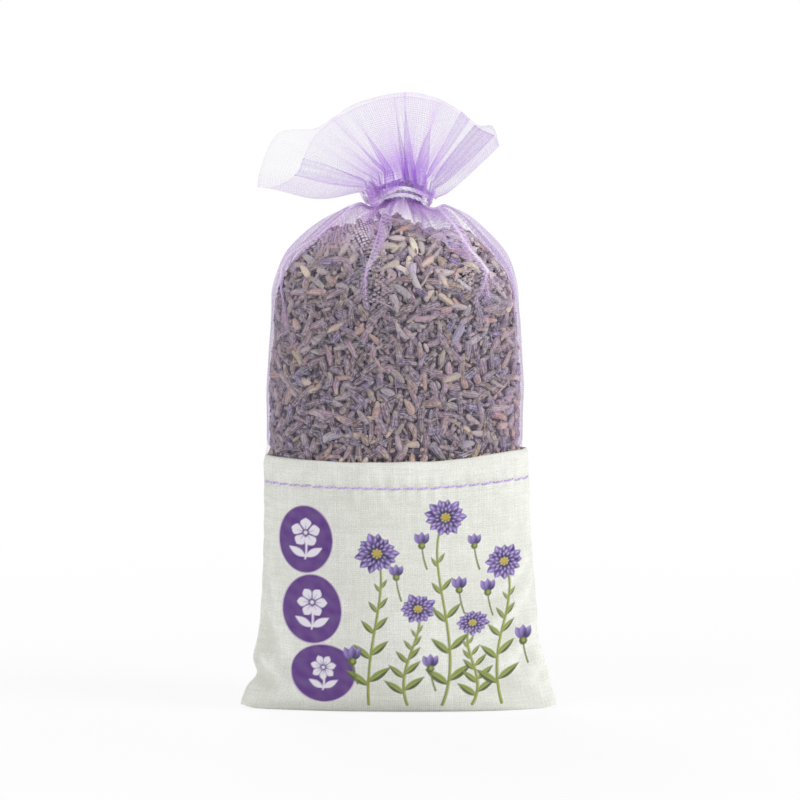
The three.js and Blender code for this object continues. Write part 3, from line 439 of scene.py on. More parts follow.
def meadow_print(x, z):
    """The print on the front: three purple ovals, each with a plain white flower, and a row of
    round meadow flowers on olive stems with paired leaves, and small closed ones between."""
    canvas = np.zeros(x.shape + (4,))
    ovals = (
        # middle, half width, half height, petals of its flower, and the flower's turn
        (-23.3, 44.4, 6.7, 8.5, 5, 0.3),
        (-21.7, 26.8, 7.4, 8.7, 6, 0.0),
        (-18.9, 10.6, 8.1, 7.4, 7, 0.2),
    )
    for cx, cz, rx, rz, petals, turn in ovals:
        wobble = 0.1 * np.sin(3 * np.arctan2(z - cz, x - cx) + cx)
        paint(canvas, 0.4 * oval(x, z, cx, cz, rx + 0.35, rz + 0.35), "#c9b3cf")
        paint(canvas, oval(x, z, cx, cz, rx + wobble, rz + wobble), "#5a3080")
        mottle = 0.5 + 0.5 * ripple(np.stack([x, z], axis=-1), 2.4, int(10 * rx))
        paint(canvas, 0.2 * np.minimum(oval(x, z, cx, cz, rx, rz), mottle), "#7a52a0")
        white_flower(canvas, x, z, cx, cz + 0.2 * rz, 0.44 * rz, petals, turn)
    stems = (
        # four points from the foot up, size of the flower, petals, how far it tips back, seed
        (((-7.5, 2.5), (-6.6, 18), (-4.6, 31), (-5.4, 41.5)), 5.6, 13, 0.92, 5),
        (((2.2, 2.5), (1.8, 12), (4.4, 20), (4.9, 27.5)), 4.7, 12, 0.85, 6),
        (((11, 2.5), (12.6, 20), (10.0, 37), (11.8, 50.5)), 5.2, 13, 0.95, 7),
        (((18.6, 2.5), (19.6, 10), (17.6, 17), (18.6, 23.5)), 4.2, 12, 0.82, 8),
        (((26, 2.5), (25.2, 17), (27.6, 28), (26.6, 38.5)), 4.9, 12, 0.9, 9),
    )
    for points, size, petals, tilt, seed in stems:
        cover, curve = stalk(x, z, points, 0.85)
        paint(canvas, cover, "#6c7a33")
        paint(canvas, 0.9 * stalk(x - 0.16, z, points, 0.4)[0], "#b4b552")
        for k, share in enumerate((0.12, 0.27, 0.42, 0.56, 0.7)):
            px, pz = curve[int(share * 139)]
            reach = (7.2 - 1.0 * k) * (0.72 + 0.006 * curve[-1][1])
            for hand in (-1, 1):
                angle = np.pi / 2 - hand * (0.95 - 0.09 * k)
                cover, along, off = blade(x, z, px, pz + 0.5 * hand, angle, reach, 0.3 * reach)
                light = 0.5 + 0.6 * np.tanh(off * 3 * hand) - 0.2 * along
                paint(canvas, cover, blend("#48572a", "#8b9a45", light))
                midrib = blade(x, z, px, pz + 0.5 * hand, angle, reach * 0.92, 0.3)[0]
                paint(canvas, 0.7 * midrib, "#b9bd72")
        blossom(canvas, x, z, *curve[-1], size, petals, tilt, seed)
    tulips = (
        # middle and size
        (-11.6, 14.5, 2.2), (8.0, 12.8, 2.0), (15.2, 32.5, 1.9), (-0.6, 36.0, 1.8),
        (22.4, 31.5, 1.9), (31.4, 18.5, 2.1), (5.8, 44.0, 1.9), (19.0, 43.5, 1.7),
    )
    for cx, cz, size in tulips:
        stem = ((cx + 1.3, cz - 6.4), (cx + 0.4, cz - 3.2), (cx, cz))
        paint(canvas, stalk(x, z, stem, 0.55)[0], "#6c7a33")
        for angle in (np.pi / 2 - 0.5, np.pi / 2 + 0.5, np.pi / 2):
            cover, along, off = blade(x, z, cx, cz - 0.3 * size, angle, 1.95 * size, 0.95 * size, 1.1)
            shade = blend("#35245f", "#a48cd4", np.clip(along, 0, 1) ** 1.3 + 0.3 * np.tanh(3 * off))
            paint(canvas, cover, shade * (0.5 + 0.5 * ease(cover / 2)[..., None]))
        paint(canvas, oval(x, z, cx, cz - 0.3 * size, 0.5 * size, 0.46 * size), "#52612a")
        lit = oval(x, z, cx + 0.15, cz - 0.22 * size, 0.24 * size, 0.28 * size)
        paint(canvas, 0.8 * lit, "#98a048")
    fade = 0.975 + 0.025 * ripple(np.stack([x, z], axis=-1), 3.5, 5)
    canvas[..., 3] *= np.clip(fade, 0, 1)
    return canvas


ROWS = 284
grid, run, crease_shade = linen_wall(FRONT, 340, ROWS)
printed = meadow_print(grid[..., 0], grid[..., 2])
# The rows under the bag and those of the hem's turn and inside stay bare.
printed[:4] = printed[4 + ROWS:] = 0
# Bare cloth carries painted shade in the hollows of its creases, as an alpha below 0.
printed[..., 3] = np.where(printed[..., 3] < 0.02, -crease_shade, printed[..., 3])
linen_front = cloth("linen_pocket_front", [(grid, run, printed)], linen)
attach(linen_front, "root")
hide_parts("linen_front_panel")

grid, run, crease_shade = linen_wall(BACK, 200, 160)
# The back is bare but for the painted shade of its creases, as an alpha below 0.
bare = crease_shade[..., None] * np.array([0, 0, 0, -1])
linen_back = cloth("linen_pocket_back", [(grid, run, bare)], linen)
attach(linen_back, "root")
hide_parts("linen_back_panel")

# Hem stitching, front and back: one row of lilac sewing thread, 3.4 mm a stitch, that holds
# the hem and the organza behind it. Each stitch comes up through the linen, lies on it at a
# slight slant and goes down again.
thread, nodes = material("lilac spun polyester sewing thread")
at = add(nodes, "UVMap", uv_map="cloth_mm").outputs["UV"]
# The two plies twist round once every 0.9 mm, which shows as slanting lines.
twist = {"Vector": at, "Scale": 0.55, "Distortion": 1.0}
twist = add(nodes, "TexWave", twist, bands_direction="DIAGONAL").outputs["Fac"]
shade = add(nodes, "ValToRGB", {"Fac": twist}, ((0, "#ab90d2"), (1, "#d6c2ee")))
# Where a stitch comes out of the linen it is painted darker: painted shade in its hole.
run = add(nodes, "SeparateXYZ", {"Vector": at}).outputs["X"]
passed = add(nodes, "Math", {0: run, 1: 3.5}, operation="DIVIDE").outputs[0]
hole_shade = add(nodes, "ValToRGB", {"Fac": passed}, ((0.02, "#7f68a6"), (0.16, "#ffffff")))
colour = add(nodes, "Mix", {"Factor": 1.0, "A": shade.outputs["Color"], "B": hole_shade.outputs["Color"]},
             data_type="RGBA", blend_type="MULTIPLY").outputs["Result"]
bump = add(nodes, "Bump", {"Height": twist, "Strength": 0.5, "Distance": 0.0001})
body = add(nodes, "BsdfPrincipled", {
    "Base Color": colour, "Roughness": 0.55, "Normal": bump.outputs["Normal"], "Sheen Weight": 0.2,
})
add(nodes, "OutputMaterial", {"Surface": body.outputs[0]})


ASKEW = (0.13, 0.21, 0.97)  # a direction that no thread or cord runs along


def tubes(paths, radii, sides, square=ASKEW):
    """Grids for tubes along paths of points in mm, as (tube, point, xyz), thick as radii say: rings
    of points in planes through each path's own cross direction, and a point at either end. The
    cross direction is square to the path and to the vector square. Cloth coordinates are mm
    along and mm round."""
    along = np.gradient(paths, axis=1)
    along /= np.maximum(np.linalg.norm(along, axis=-1, keepdims=True), 1e-9)
    level = np.cross(np.array(square), along)
    level /= np.linalg.norm(level, axis=-1, keepdims=True)
    up = np.cross(along, level)
    angle = np.linspace(0, 2 * np.pi, sides + 1)
    ring = level[:, :, None] * np.cos(angle)[:, None] + up[:, :, None] * np.sin(angle)[:, None]
    grid = paths[:, :, None] + ring * radii[..., None, None]
    tips = [np.repeat(end[:, :, None], sides + 1, axis=2) for end in (paths[:, :1], paths[:, -1:])]
    grid = np.concatenate([tips[0], grid, tips[1]], axis=1)
    steps = np.linalg.norm(np.diff(paths, axis=1), axis=-1)
    run = np.concatenate([np.zeros((len(paths), 2)), np.cumsum(steps, axis=1)], axis=1)
    run = np.concatenate([run, run[:, -1:]], axis=1)
    flat = np.stack(np.broadcast_arrays(run[:, :, None], (angle * 0.35)[None, None]), axis=-1)
    return [(g.transpose(1, 0, 2), f.transpose(1, 0, 2)) for g, f in zip(grid, flat)]


def hem_stitches(side, seed):
    """A row of stitches: each path goes along the creased linen at the stitch height, its distance
    off the cloth an arch, its slant and length a little different from its neighbours'."""
    random = np.random.default_rng(seed)
    u = np.linspace(0, 1, 3000)
    run = stitch_run(side, u)
    count = int((run[-1] - 1.2) / STITCH_PITCH)
    start = STITCH_START + STITCH_PITCH * np.arange(count) + random.uniform(-0.08, 0.08, count)
    length = STITCH_PITCH + random.uniform(-0.2, 0.05, count)
    t = np.linspace(0, 1, 11)
    arc = start[:, None] + length[:, None] * t
    at_u = np.interp(arc, run, u)
    slant = random.normal(0.15, 0.05, count)[:, None] * (t - 0.5) * 2
    slant = slant + random.normal(0, 0.04, count)[:, None]
    rise = 0.36 * np.sin(np.pi * t) ** 0.6 - 0.26
    flat_x = np.interp(at_u, even_shares(side, 40, 2000), np.linspace(-PANEL_HALF, PANEL_HALF, 2000))
    height = STITCH_LINE + slant
    crease = linen_creases(side, flat_x, height, arc) * ease((PANEL_HALF - np.abs(flat_x)) / 1.8)
    paths = skin(side, at_u, height, -(crease + rise))
    paths[..., 2] += hem_rise(paths[..., 0], paths[..., 2])
    radii = np.broadcast_to(0.25 - 0.06 * np.abs(2 * t - 1) ** 3, arc.shape)
    return tubes(paths, radii, 8)


for side, name, seed in ((FRONT, "front", 3), (BACK, "back", 4)):
    stitches = cloth("hem_stitches_" + name, hem_stitches(side, seed), thread)
    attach(stitches, "root")
    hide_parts("hem_stitching_" + name)

# Overlocked seams, both sides and the bottom: pale thread looped over the raw edges of the two
# panels, inside the bag. Through the organza the side ones show as a pale edge.
overlock, nodes = material("pale lilac overlock thread")
place = add(nodes, "TexCoord").outputs["Object"]
fuzz = add(nodes, "TexNoise", {"Vector": place, "Scale": 2500})
bump = add(nodes, "Bump", {"Height": fuzz.outputs["Fac"], "Strength": 0.4, "Distance": 0.00005})
body = add(nodes, "BsdfPrincipled", {
    "Base Color": linear("#cfc2e2"), "Roughness": 0.7, "Normal": bump.outputs["Normal"],
    "Sheen Weight": 0.2,
})
add(nodes, "OutputMaterial", {"Surface": body.outputs[0]})

SEAM_ALLOWANCE = 4.0
OVERLOCK_PITCH = 2.1
OVERLOCK_RADIUS = 0.13
SIDE_SEAM = (10, 92)  # foot and length of a side seam
BOTTOM_SEAM = 52


def overlock_loops(length):
    """A thread wound over an edge: its height above the edge and its side of the cloth follow
    a flattened circle once a pitch. Gives mm along the edge, past the edge, and sideways."""
    turns = length / OVERLOCK_PITCH
    t = np.linspace(0, turns, int(turns * 14))
    angle = 2 * np.pi * t
    past = np.clip(1.3 * np.cos(angle), -1, 0.75) * 1.2 - 0.65
    off = np.clip(1.5 * np.sin(angle), -1, 1) * 0.95
    return t * OVERLOCK_PITCH + 0.35 * np.sin(2 * angle), past, off


seams = []
for name, hand in (("left_side", -1), ("right_side", 1)):
    run, past, off = overlock_loops(SIDE_SEAM[1])
    heights = SIDE_SEAM[0] + run
    edge = bag(WIDE, heights) - SEAM_ALLOWANCE - past
    seams.append((name, np.stack([bag(LEAN, heights) + hand * edge, off, heights], axis=-1)))
run, past, off = overlock_loops(BOTTOM_SEAM)
seams.append(("bottom", np.stack([run - BOTTOM_SEAM / 2, off, SEAM_ALLOWANCE + past], axis=-1)))
for name, path in seams:
    radii = np.full((1, len(path)), OVERLOCK_RADIUS)
    seam = cloth(name + "_overlock", tubes(path[None], radii, 5), overlock)
    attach(seam, "root")
    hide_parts(name + "_seam")

# Lavender fill: dried lavender buds, poured in and packed. A dark inner mass of them, painted
# dark as the shade between the buds, carries the outer layers of single buds, 3 to 7 mm long,
# with crumbs and bits of stalk between them. They press against the organza, and their heap
# ends under the neck's folds.
dried, nodes = material("dried lavender calyx, ribbed and dusty")
at = add(nodes, "UVMap", uv_map="cloth_mm").outputs["UV"]
tint = add(nodes, "Attribute", attribute_name="tint").outputs["Color"]
# A calyx has 8 ribs to be seen round it; UV x runs once round it in 12 mm, so a rib is 1.5 mm.
ribs = {"Vector": at, "Scale": 0.2094, "Distortion": 0.8, "Detail": 1}
ribs = add(nodes, "TexWave", ribs).outputs["Fac"]
place = add(nodes, "TexCoord").outputs["Object"]
dust = add(nodes, "TexNoise", {"Vector": place, "Scale": 1300, "Detail": 3}).outputs["Fac"]
# Pale down catches on the ribs and in patches between them.
pale = add(nodes, "Math", {0: ribs, 1: 0.2, 2: dust}, operation="MULTIPLY_ADD").outputs[0]
lift = {"Value": pale, "From Min": 0.48, "From Max": 0.84, "To Max": 0.72}
lift = add(nodes, "MapRange", lift).outputs[0]
downy = {"Factor": lift, "A": tint, "B": linear("#d2c2c6")}
colour = add(nodes, "Mix", downy, data_type="RGBA").outputs["Result"]
bump = add(nodes, "Bump", {"Height": ribs, "Strength": 0.5, "Distance": 0.0002})
body = add(nodes, "BsdfPrincipled", {
    "Base Color": colour, "Roughness": 0.5, "Normal": bump.outputs["Normal"], "Sheen Weight": 0.3,
})
add(nodes, "OutputMaterial", {"Surface": body.outputs[0]})

BUD_TINTS = [
    # the tints of the buds, and the parts of each in the mix
    ("#8a7f90", 14), ("#74696f", 13), ("#574b5c", 11), ("#a2969f", 10), ("#717585", 8), ("#8d8270", 13),
    ("#ac9c84", 12), ("#c8b994", 9), ("#7f7c48", 8), ("#98705a", 3), ("#3b323f", 9), ("#5f5894", 8),
]
HEAP_TOP = np.array([
    # across in mm, and how high the heap of buds reaches there
    (-31, 106), (-30, 109), (-25.6, 116), (-19.5, 121.6), (-15, 120.9), (-11, 122.9), (-6, 123.4),
    (-3.6, 125), (-1.5, 125.2), (1, 124.2), (4, 122.4), (9, 121.2), (13.5, 121.6), (19.3, 120.6),
    (23.6, 115.8), (26.3, 112.6), (29.4, 108), (31, 104),
])
# Shares of the length, the profile's radius there, and the number of points round it.
CALYX = (np.array([0, 0.03, 0.12, 0.36, 0.64, 0.86, 0.97, 1]),
         np.array([0, 0.34, 0.56, 0.88, 1, 0.93, 0.7, 0]), 9)
CRUMB = (np.array([0, 0.15, 0.5, 0.85, 1]), np.array([0, 0.7, 1, 0.8, 0]), 7)


def under_cloth(height):
    """How far the pleats of the organza draw it in, so that buds stay under them."""
    return 0.95 * bag(PLEAT, height)


def pressed(points, room):
    """Points of the buds, those outside the skin less some room moved straight towards its axis
    until they are inside: the cloth presses the outer buds flat."""
    x, y, z = points[..., 0] - bag(LEAN, points[..., 2]), points[..., 1], points[..., 2]
    inset = room + under_cloth(z)
    across = np.abs(x) / (bag(WIDE, z) - inset)
    depth = (np.abs(y) / (bag(DEEP, z) - inset)) ** (2 / bag(POWER, z))
    shrink = 1 / np.sqrt(np.maximum(across ** 2 + depth, 1))
    return np.stack([x * shrink + bag(LEAN, z), y * shrink, z], axis=-1)


def bud_beds(side, count, inset, seed):
    """Beds for buds on the skin moved in by inset and the pleats: out of many random tries below
    the heap's top, each time the one with the most room to those taken. Gives their places, the
    directions square to the skin there, and how near they are to a side seam, 0 to 1."""
    random = np.random.default_rng(seed)
    u = random.uniform(0.012, 0.988, count * 9)
    height = random.uniform(59, 127, count * 9)
    here = skin(side, u, height, inset + under_cloth(height), 0.0)
    below = here[:, 2] < np.interp(here[:, 0], *HEAP_TOP.T) - 1.2
    u, height, here = u[below], height[below], here[below]
    gap = np.full(len(here), 1e9)
    chosen = [0]
    while len(chosen) < count:
        gap = np.minimum(gap, np.sum((here - here[chosen[-1]]) ** 2, axis=1))
        chosen.append(int(np.argmax(gap)))
    u, height, here = u[chosen], height[chosen], here[chosen]
    deep = inset + under_cloth(height)
    across = skin(side, u + 0.006, height, deep, 0.0) - skin(side, u - 0.006, height, deep, 0.0)
    up = skin(side, u, height + 0.5, deep, 0.0) - skin(side, u, height - 0.5, deep, 0.0)
    out = np.cross(across, up)
    out *= np.where((out * here * np.array([1, 1, 0])).sum(-1, keepdims=True) < 0, -1, 1)
    near_seam = 1 - ease(np.minimum(u, 1 - u) / 0.12)
    return here, out / np.linalg.norm(out, axis=-1, keepdims=True), near_seam


def heap_beds(side, count, seed):
    """Beds for the buds on top of the heap, from the seams' plane to one face of the bag."""
    random = np.random.default_rng(seed)
    x = random.uniform(-30, 30, count)
    height = np.interp(x, *HEAP_TOP.T) - random.uniform(1.3, 2.2, count)
    inset = 1.6 + under_cloth(height)
    wide = np.clip((x - bag(LEAN, height)) / (bag(WIDE, height) - inset), -1, 1)
    y = side * random.uniform(0, 1, count) * np.sqrt(1 - wide ** 2) * (bag(DEEP, height) - inset)
    out = np.stack([0.3 * wide, 0.3 * side * np.ones(count), np.ones(count)], axis=-1)
    here = np.stack([x, y, height], axis=-1)
    return here, out / np.linalg.norm(out, axis=-1, keepdims=True), np.zeros(count)


def buds(beds, length, girth, seed, tilted=0.16, tone=1.0, shape=CALYX):
    """Buds in their beds, as long and as thick as two ranges say. Each is a profile turned round
    its axis, from a point at the stalk to fullest past its middle and a point at its tip, bent
    along an arc and laid at a random heading, upright near the side seams, with a small random
    tilt. Its colours are those of bud_colours."""
    here, out, upright = beds
    count = len(here)
    random = np.random.default_rng(seed)
    share, profile, sides = shape
    around = np.linspace(0, 2 * np.pi, sides)
    flat = np.cross(np.array([0, 0, 1.0]) + 0.01 * here[:, [1, 2, 0]], out)
    flat /= np.linalg.norm(flat, axis=-1, keepdims=True)
    steep = np.cross(out, flat)
    heading = random.uniform(-np.pi, np.pi, count) * (1 - 0.75 * upright)
    heading = heading + np.pi / 2 * np.sign(random.normal(size=count)) * upright
    tilt = random.normal(0, tilted, count)[:, None]
    axis = flat * np.cos(heading)[:, None] + steep * np.sin(heading)[:, None]
    axis = axis * np.cos(tilt) + out * np.sin(tilt)
    wide = np.cross(out, axis)
    wide /= np.linalg.norm(wide, axis=-1, keepdims=True)
    thick = np.cross(axis, wide)
    long, fat = random.uniform(*length, count), random.uniform(*girth, count)
    bend = random.normal(0, 0.07, count) * long
    lengthways = long[:, None] * (share - 0.5)
    arc = bend[:, None] * (1 - (2 * share - 1) ** 2)
    spine = here[:, None] + axis[:, None] * lengthways[..., None] + wide[:, None] * arc[..., None]
    spine += (out * random.uniform(-0.35, 0.35, count)[:, None])[:, None]
    ring = wide[:, None, None] * np.cos(around)[:, None]
    ring = ring + thick[:, None, None] * 0.85 * np.sin(around)[:, None]
    points = spine[:, :, None] + ring * (fat[:, None] * profile)[..., None, None]
    girthways = around[None, None] * 12 / (2 * np.pi)
    uv = np.stack(np.broadcast_arrays(girthways, lengthways[..., None]), axis=-1)
    tints = np.broadcast_to(bud_colours(here, share, tone, random)[:, :, None], points.shape)
    tints = np.concatenate([tints, np.ones(points.shape[:-1] + (1,))], axis=-1)
    return list(zip(pressed(points, 0.6), uv, tints))


def bud_colours(here, share, tone, random):
    """Colours along each bud, times tone, which is painted shade: straw at its foot, its own tint in
    the middle, and violet towards its tip. Some are dry and cream-coloured, more of them near the
    top of the heap, where all are painted paler as painted light, and the buds on the left are
    painted darker and those on the right paler, as painted light from the right."""
    count = len(here)
    names, weights = zip(*BUD_TINTS)
    palette = np.array([linear(name)[:3] for name in names])
    pick = random.choice(len(names), count, p=np.array(weights) / sum(weights))
    shade = palette[pick] * random.uniform(0.45, 1.35, (count, 1)) + random.normal(0, 0.008, (count, 3))
    # Painted light: near the top of the heap more buds are dry, their cream is brighter, and the others
    # are painted paler.
    high = ease((here[:, 2:] - 100) / 18)
    dry = random.random((count, 1)) < 0.2 + 0.36 * high
    cream = (0.14 + 0.55 * high) * np.array([1, 0.92, 0.74])
    dry_and_top_lit = shade * [1.4, 1.26, 1.15] + cream
    purple = shade * [1.06, 0.73, 0.8] * (1 + 0.4 * high)
    shade = np.where(dry, dry_and_top_lit, purple)
    # Painted light from the right: the buds on the left are painted darker, those on the right paler.
    shade = shade * tone * (0.72 + 0.27 * ease((here[:, :1] + 5) / 32))
    violet = np.array(linear("#51487c")[:3])
    straw = np.array(linear("#cfc3a0")[:3]) * tone
    blue = ease((share - 0.45) / 0.4)[None, :, None] * random.uniform(-0.5, 0.75, (count, 1, 1)).clip(0)
    ends = (1 - ease(share / 0.3) + 0.7 * ease((share - 0.88) / 0.1))[None, :, None]
    ends = ends * random.uniform(-0.3, 0.95, (count, 1, 1)).clip(0)
    tints = shade[:, None] * (1 - blue) + violet * blue
    return np.clip(tints * (1 - ends) + straw * ends, 0.006, 1)


LAYERS = (
    # how many, inset, seed, range of lengths, range of radii, tilt, tone and profile of the
    # outer buds, the ones under them, the crumbs, and the bits of stalk. A tone below 1 is painted
    # shade, darkest on the buds under the outer ones.
    (520, 1.7, 31, (3.2, 6.6), (0.66, 1.1), 0.16, 1.0, CALYX),
    (440, 2.7, 41, (4.0, 6.6), (0.75, 1.1), 0.25, 0.48, CALYX),
    (1300, 1.6, 51, (1.0, 2.9), (0.28, 0.58), 0.5, 0.9, CRUMB),
    (70, 1.3, 61, (4.0, 7.5), (0.16, 0.26), 0.1, 1.0, CALYX),
)
for side, name, first in ((FRONT, "front", 1), (BACK, "back", 21)):
    grids = []
    for count, inset, seed, length, girth, *rest in LAYERS:
        beds = bud_beds(side, count, inset, seed + side)
        grids += buds(beds, length, girth, seed + 100 + side, *rest)
    # On top of the heap lie 150 more, more tilted.
    grids += buds(heap_beds(side, 150, 71 + side), (3.6, 6.4), (0.7, 1.0), 171 + side, 0.35)
    loose = cloth("lavender_buds_" + name, grids, dried)
    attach(loose, "root")
    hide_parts(*["lavender_bud_%02d" % k for k in range(first, first + 20)])


CORE_TOP = 117.0


def packed_fill():
    """The inner mass: rings round the bag inside the skin from just above the floor to a low dome
    under the neck, roughened by noise of a bud's size."""
    dome = np.linspace(0.2, np.pi / 2, 8)
    heights = np.concatenate([np.linspace(1.2, CORE_TOP, 110), CORE_TOP + 3.5 * np.sin(dome)])
    close = np.concatenate([np.ones(110), np.cos(dome)])
    u = np.linspace(0, 2, 161)
    half = np.where(u <= 1, u, 2 - u)
    side = np.where(u <= 1, FRONT, BACK)
    at = np.minimum(heights, CORE_TOP)[:, None]
    foot = 6 * (1 - ease(at / 12))
    inset = 3.6 + 1.15 * bag(PLEAT, at) + np.where(at < 62, -1.0, -0.4)
    inset = inset + foot * np.abs(np.cos(np.pi * half))
    grid = skin(side, half[None], at, inset, 0.0)
    grid[..., 1] = np.where(at < 3, grid[..., 1] * 0.9, grid[..., 1])
    grid[..., 2] = heights[:, None]
    grid[..., :2] *= close[:, None, None]
    rough = 0.6 * ripple(grid, 4.5, 9) * close[:, None]
    grid[..., :2] += outwards(grid)[..., :2] * rough[..., None]
    grid[:, -1] = grid[:, 0]
    flat = np.stack(np.broadcast_arrays(u[None] * 80, heights[:, None]), axis=-1)
    # Painted shade: the mass is painted almost black, as the shade deep between the buds.
    tint = np.zeros(grid.shape[:2] + (4,)) + np.array(linear("#2e2833")[:3] + [1])
    tint[..., :3] *= (1 + 0.35 * ripple(grid, 3, 8))[..., None]
    return grid, flat, np.clip(tint, 0.004, 1)


core = cloth("lavender_packed_core", [packed_fill()], dried)
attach(core, "root")
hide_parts("lavender_fill")

# Organza bag, front and back: sheer lilac organza, a plain weave of fine stiff yarns. Its lower
# edges are caught behind the linen hem, it lies smooth over the buds, is drawn into folds
# at the neck by the tie and fans out above as a ruffle with raw cut edges.
organza, nodes = material("sheer lilac nylon organza")
at = add(nodes, "UVMap", uv_map="cloth_mm").outputs["UV"]
# Real yarns lie 0.2 mm apart; they are drawn 0.6 mm apart, and uneven, so that the weave shows.
yarn = {"Vector": at, "Scale": 0.55, "Distortion": 1.6, "Detail Scale": 0.8}
across, down = [add(nodes, "TexWave", yarn, bands_direction=way).outputs["Fac"] for way in "XY"]
yarns = add(nodes, "Math", {0: across, 1: down}, operation="ADD").outputs[0]
slubs = add(nodes, "TexNoise", {"Vector": at, "Scale": 1.1, "Detail": 2}).outputs["Fac"]
uneven = add(nodes, "Math", {0: yarns, 1: slubs, 2: 0.12}, operation="MULTIPLY_ADD").outputs[0]
grain = add(nodes, "MapRange", {
    "Value": uneven, "From Min": 0.15, "From Max": 1.15, "To Min": 0.45, "To Max": 1.6,
}).outputs[0]
# Light goes through 1 / cosine times as much yarn where the cloth is seen at a slant, and through
# as many layers' worth as its fine gathers press together: what is left is a power of one
# layer's. The tint holds the layers, how deep the colour is, the painted glints, and where
# layers cross.
ink = add(nodes, "Attribute", attribute_name="tint").outputs
crossed = ink["Alpha"]
told = add(nodes, "SeparateColor", {"Color": ink["Color"]}).outputs
slant = add(nodes, "LayerWeight", {"Blend": 0.5}).outputs["Facing"]
cosine = add(nodes, "MapRange", {"Value": slant, "To Min": 1.0, "To Max": 0.28}).outputs[0]
yarn = add(nodes, "Math", {0: told["Red"], 1: grain}, operation="MULTIPLY").outputs[0]
yarn = add(nodes, "Math", {0: yarn, 1: cosine}, operation="DIVIDE").outputs[0]
# Where two layers cross at a slant their yarns beat: pale lozenges with dark lines between, drawn
# 0.9 mm apart, coarser than real, so that they show.
lozenges = 1.0
for turned in (0, np.pi / 2):
    way = add(nodes, "Mapping", {"Vector": at, "Rotation": (0, 0, turned)}).outputs["Vector"]
    beat = {"Vector": way, "Scale": 0.5, "Distortion": 3.6, "Detail": 2, "Detail Scale": 0.9}
    beat = add(nodes, "TexWave", beat, bands_direction="DIAGONAL").outputs["Fac"]
    beat = add(nodes, "MapRange", {"Value": beat, "From Min": 0.15, "From Max": 0.5}).outputs[0]
    lozenges = add(nodes, "Math", {0: beat, 1: lozenges}, operation="MULTIPLY").outputs[0]
beats = add(nodes, "Math", {0: lozenges, 1: 6.0, 2: -0.85}, operation="MULTIPLY_ADD").outputs[0]
beats = add(nodes, "Math", {0: beats, 1: crossed, 2: 1.0}, operation="MULTIPLY_ADD").outputs[0]
yarn = add(nodes, "Math", {0: yarn, 1: beats}, operation="MULTIPLY").outputs[0]
gaps = add(nodes, "Math", {0: 0.88, 1: yarn}, operation="POWER").outputs[0]
# One layer looks greyish and two or three look lilac. Where the cloth is bunched at the tie or
# inside a fold its colour deepens. A fold's edge, the two ridges and the cloth under the tie
# get a painted glint: a near-white colour mixed in.
layers = add(nodes, "MapRange", {"Value": told["Red"], "From Min": 1.0, "From Max": 3.2}).outputs[0]
beat = add(nodes, "Math", {0: lozenges, 1: crossed}, operation="MULTIPLY").outputs[0]
shade = linear("#cac0e0")
for how_much, colour in (
    (layers, "#d2abe8"), (told["Green"], "#b676e4"), (told["Blue"], "#fdf6ff"), (beat, "#f1eaf6"),
):
    mixed = {"Factor": how_much, "A": shade, "B": linear(colour)}
    shade = add(nodes, "Mix", mixed, data_type="RGBA").outputs["Result"]
gloss = add(nodes, "BsdfPrincipled", {
    "Base Color": shade, "Roughness": 0.4, "Sheen Weight": 0.4, "Sheen Roughness": 0.35,
})
lit_through = add(nodes, "BsdfTranslucent", {"Color": shade})
threads = add(nodes, "MixShader", {0: 0.4, 1: gloss.outputs[0], 2: lit_through.outputs[0]})
clear = add(nodes, "BsdfTransparent")
body = add(nodes, "MixShader", {0: gaps, 1: threads.outputs[0], 2: clear.outputs[0]})
add(nodes, "OutputMaterial", {"Surface": body.outputs[0]})

NECK_TOP = 132.4
NECK_LEAN, NECK_WIDE, NECK_DEEP = 0.9, 6.0, 4.6
TIE_HEIGHT = 130.2
TIE_REACH = 0.75  # from the neck's ellipse out to the middle of the cord
CLOTH_FOOT = 54.0  # the lower edge, behind the hem
CLOTH_WIDTH = 81.0
PLEATS, FINE_PLEATS = 6, 15
RIM = {
    # knots of the ruffle's edge: across, height, and out from the seams' plane, in mm
    FRONT: [
        (-35.4, 132, 0), (-30.5, 132.8, 5), (-25.6, 136.1, 8.6), (-23.3, 141, 7.2), (-20.8, 145.6, 4),
        (-11, 152.4, 6.7), (0.2, 155.1, 3.2), (8.7, 154.3, 6.3), (14.5, 151.4, 2.7),
        (20.3, 147.2, 5.4), (23.6, 145.6, 4.5), (25.2, 142.4, 0),
    ],
    BACK: [
        (-35.4, 132, 0), (-34.5, 137, 3.2), (-32.6, 141.9, 6.3), (-30.2, 145, 7.6), (-27.1, 146, 6.3),
        (-20.8, 146.6, 3.6), (-11, 152.4, 7.6), (1.6, 155.5, 4.5), (8.7, 154.1, 8.1),
        (14.5, 151.6, 4.5), (20.3, 147.0, 7.2), (23.6, 147.0, 4), (25.2, 142.4, 0),
    ],
}
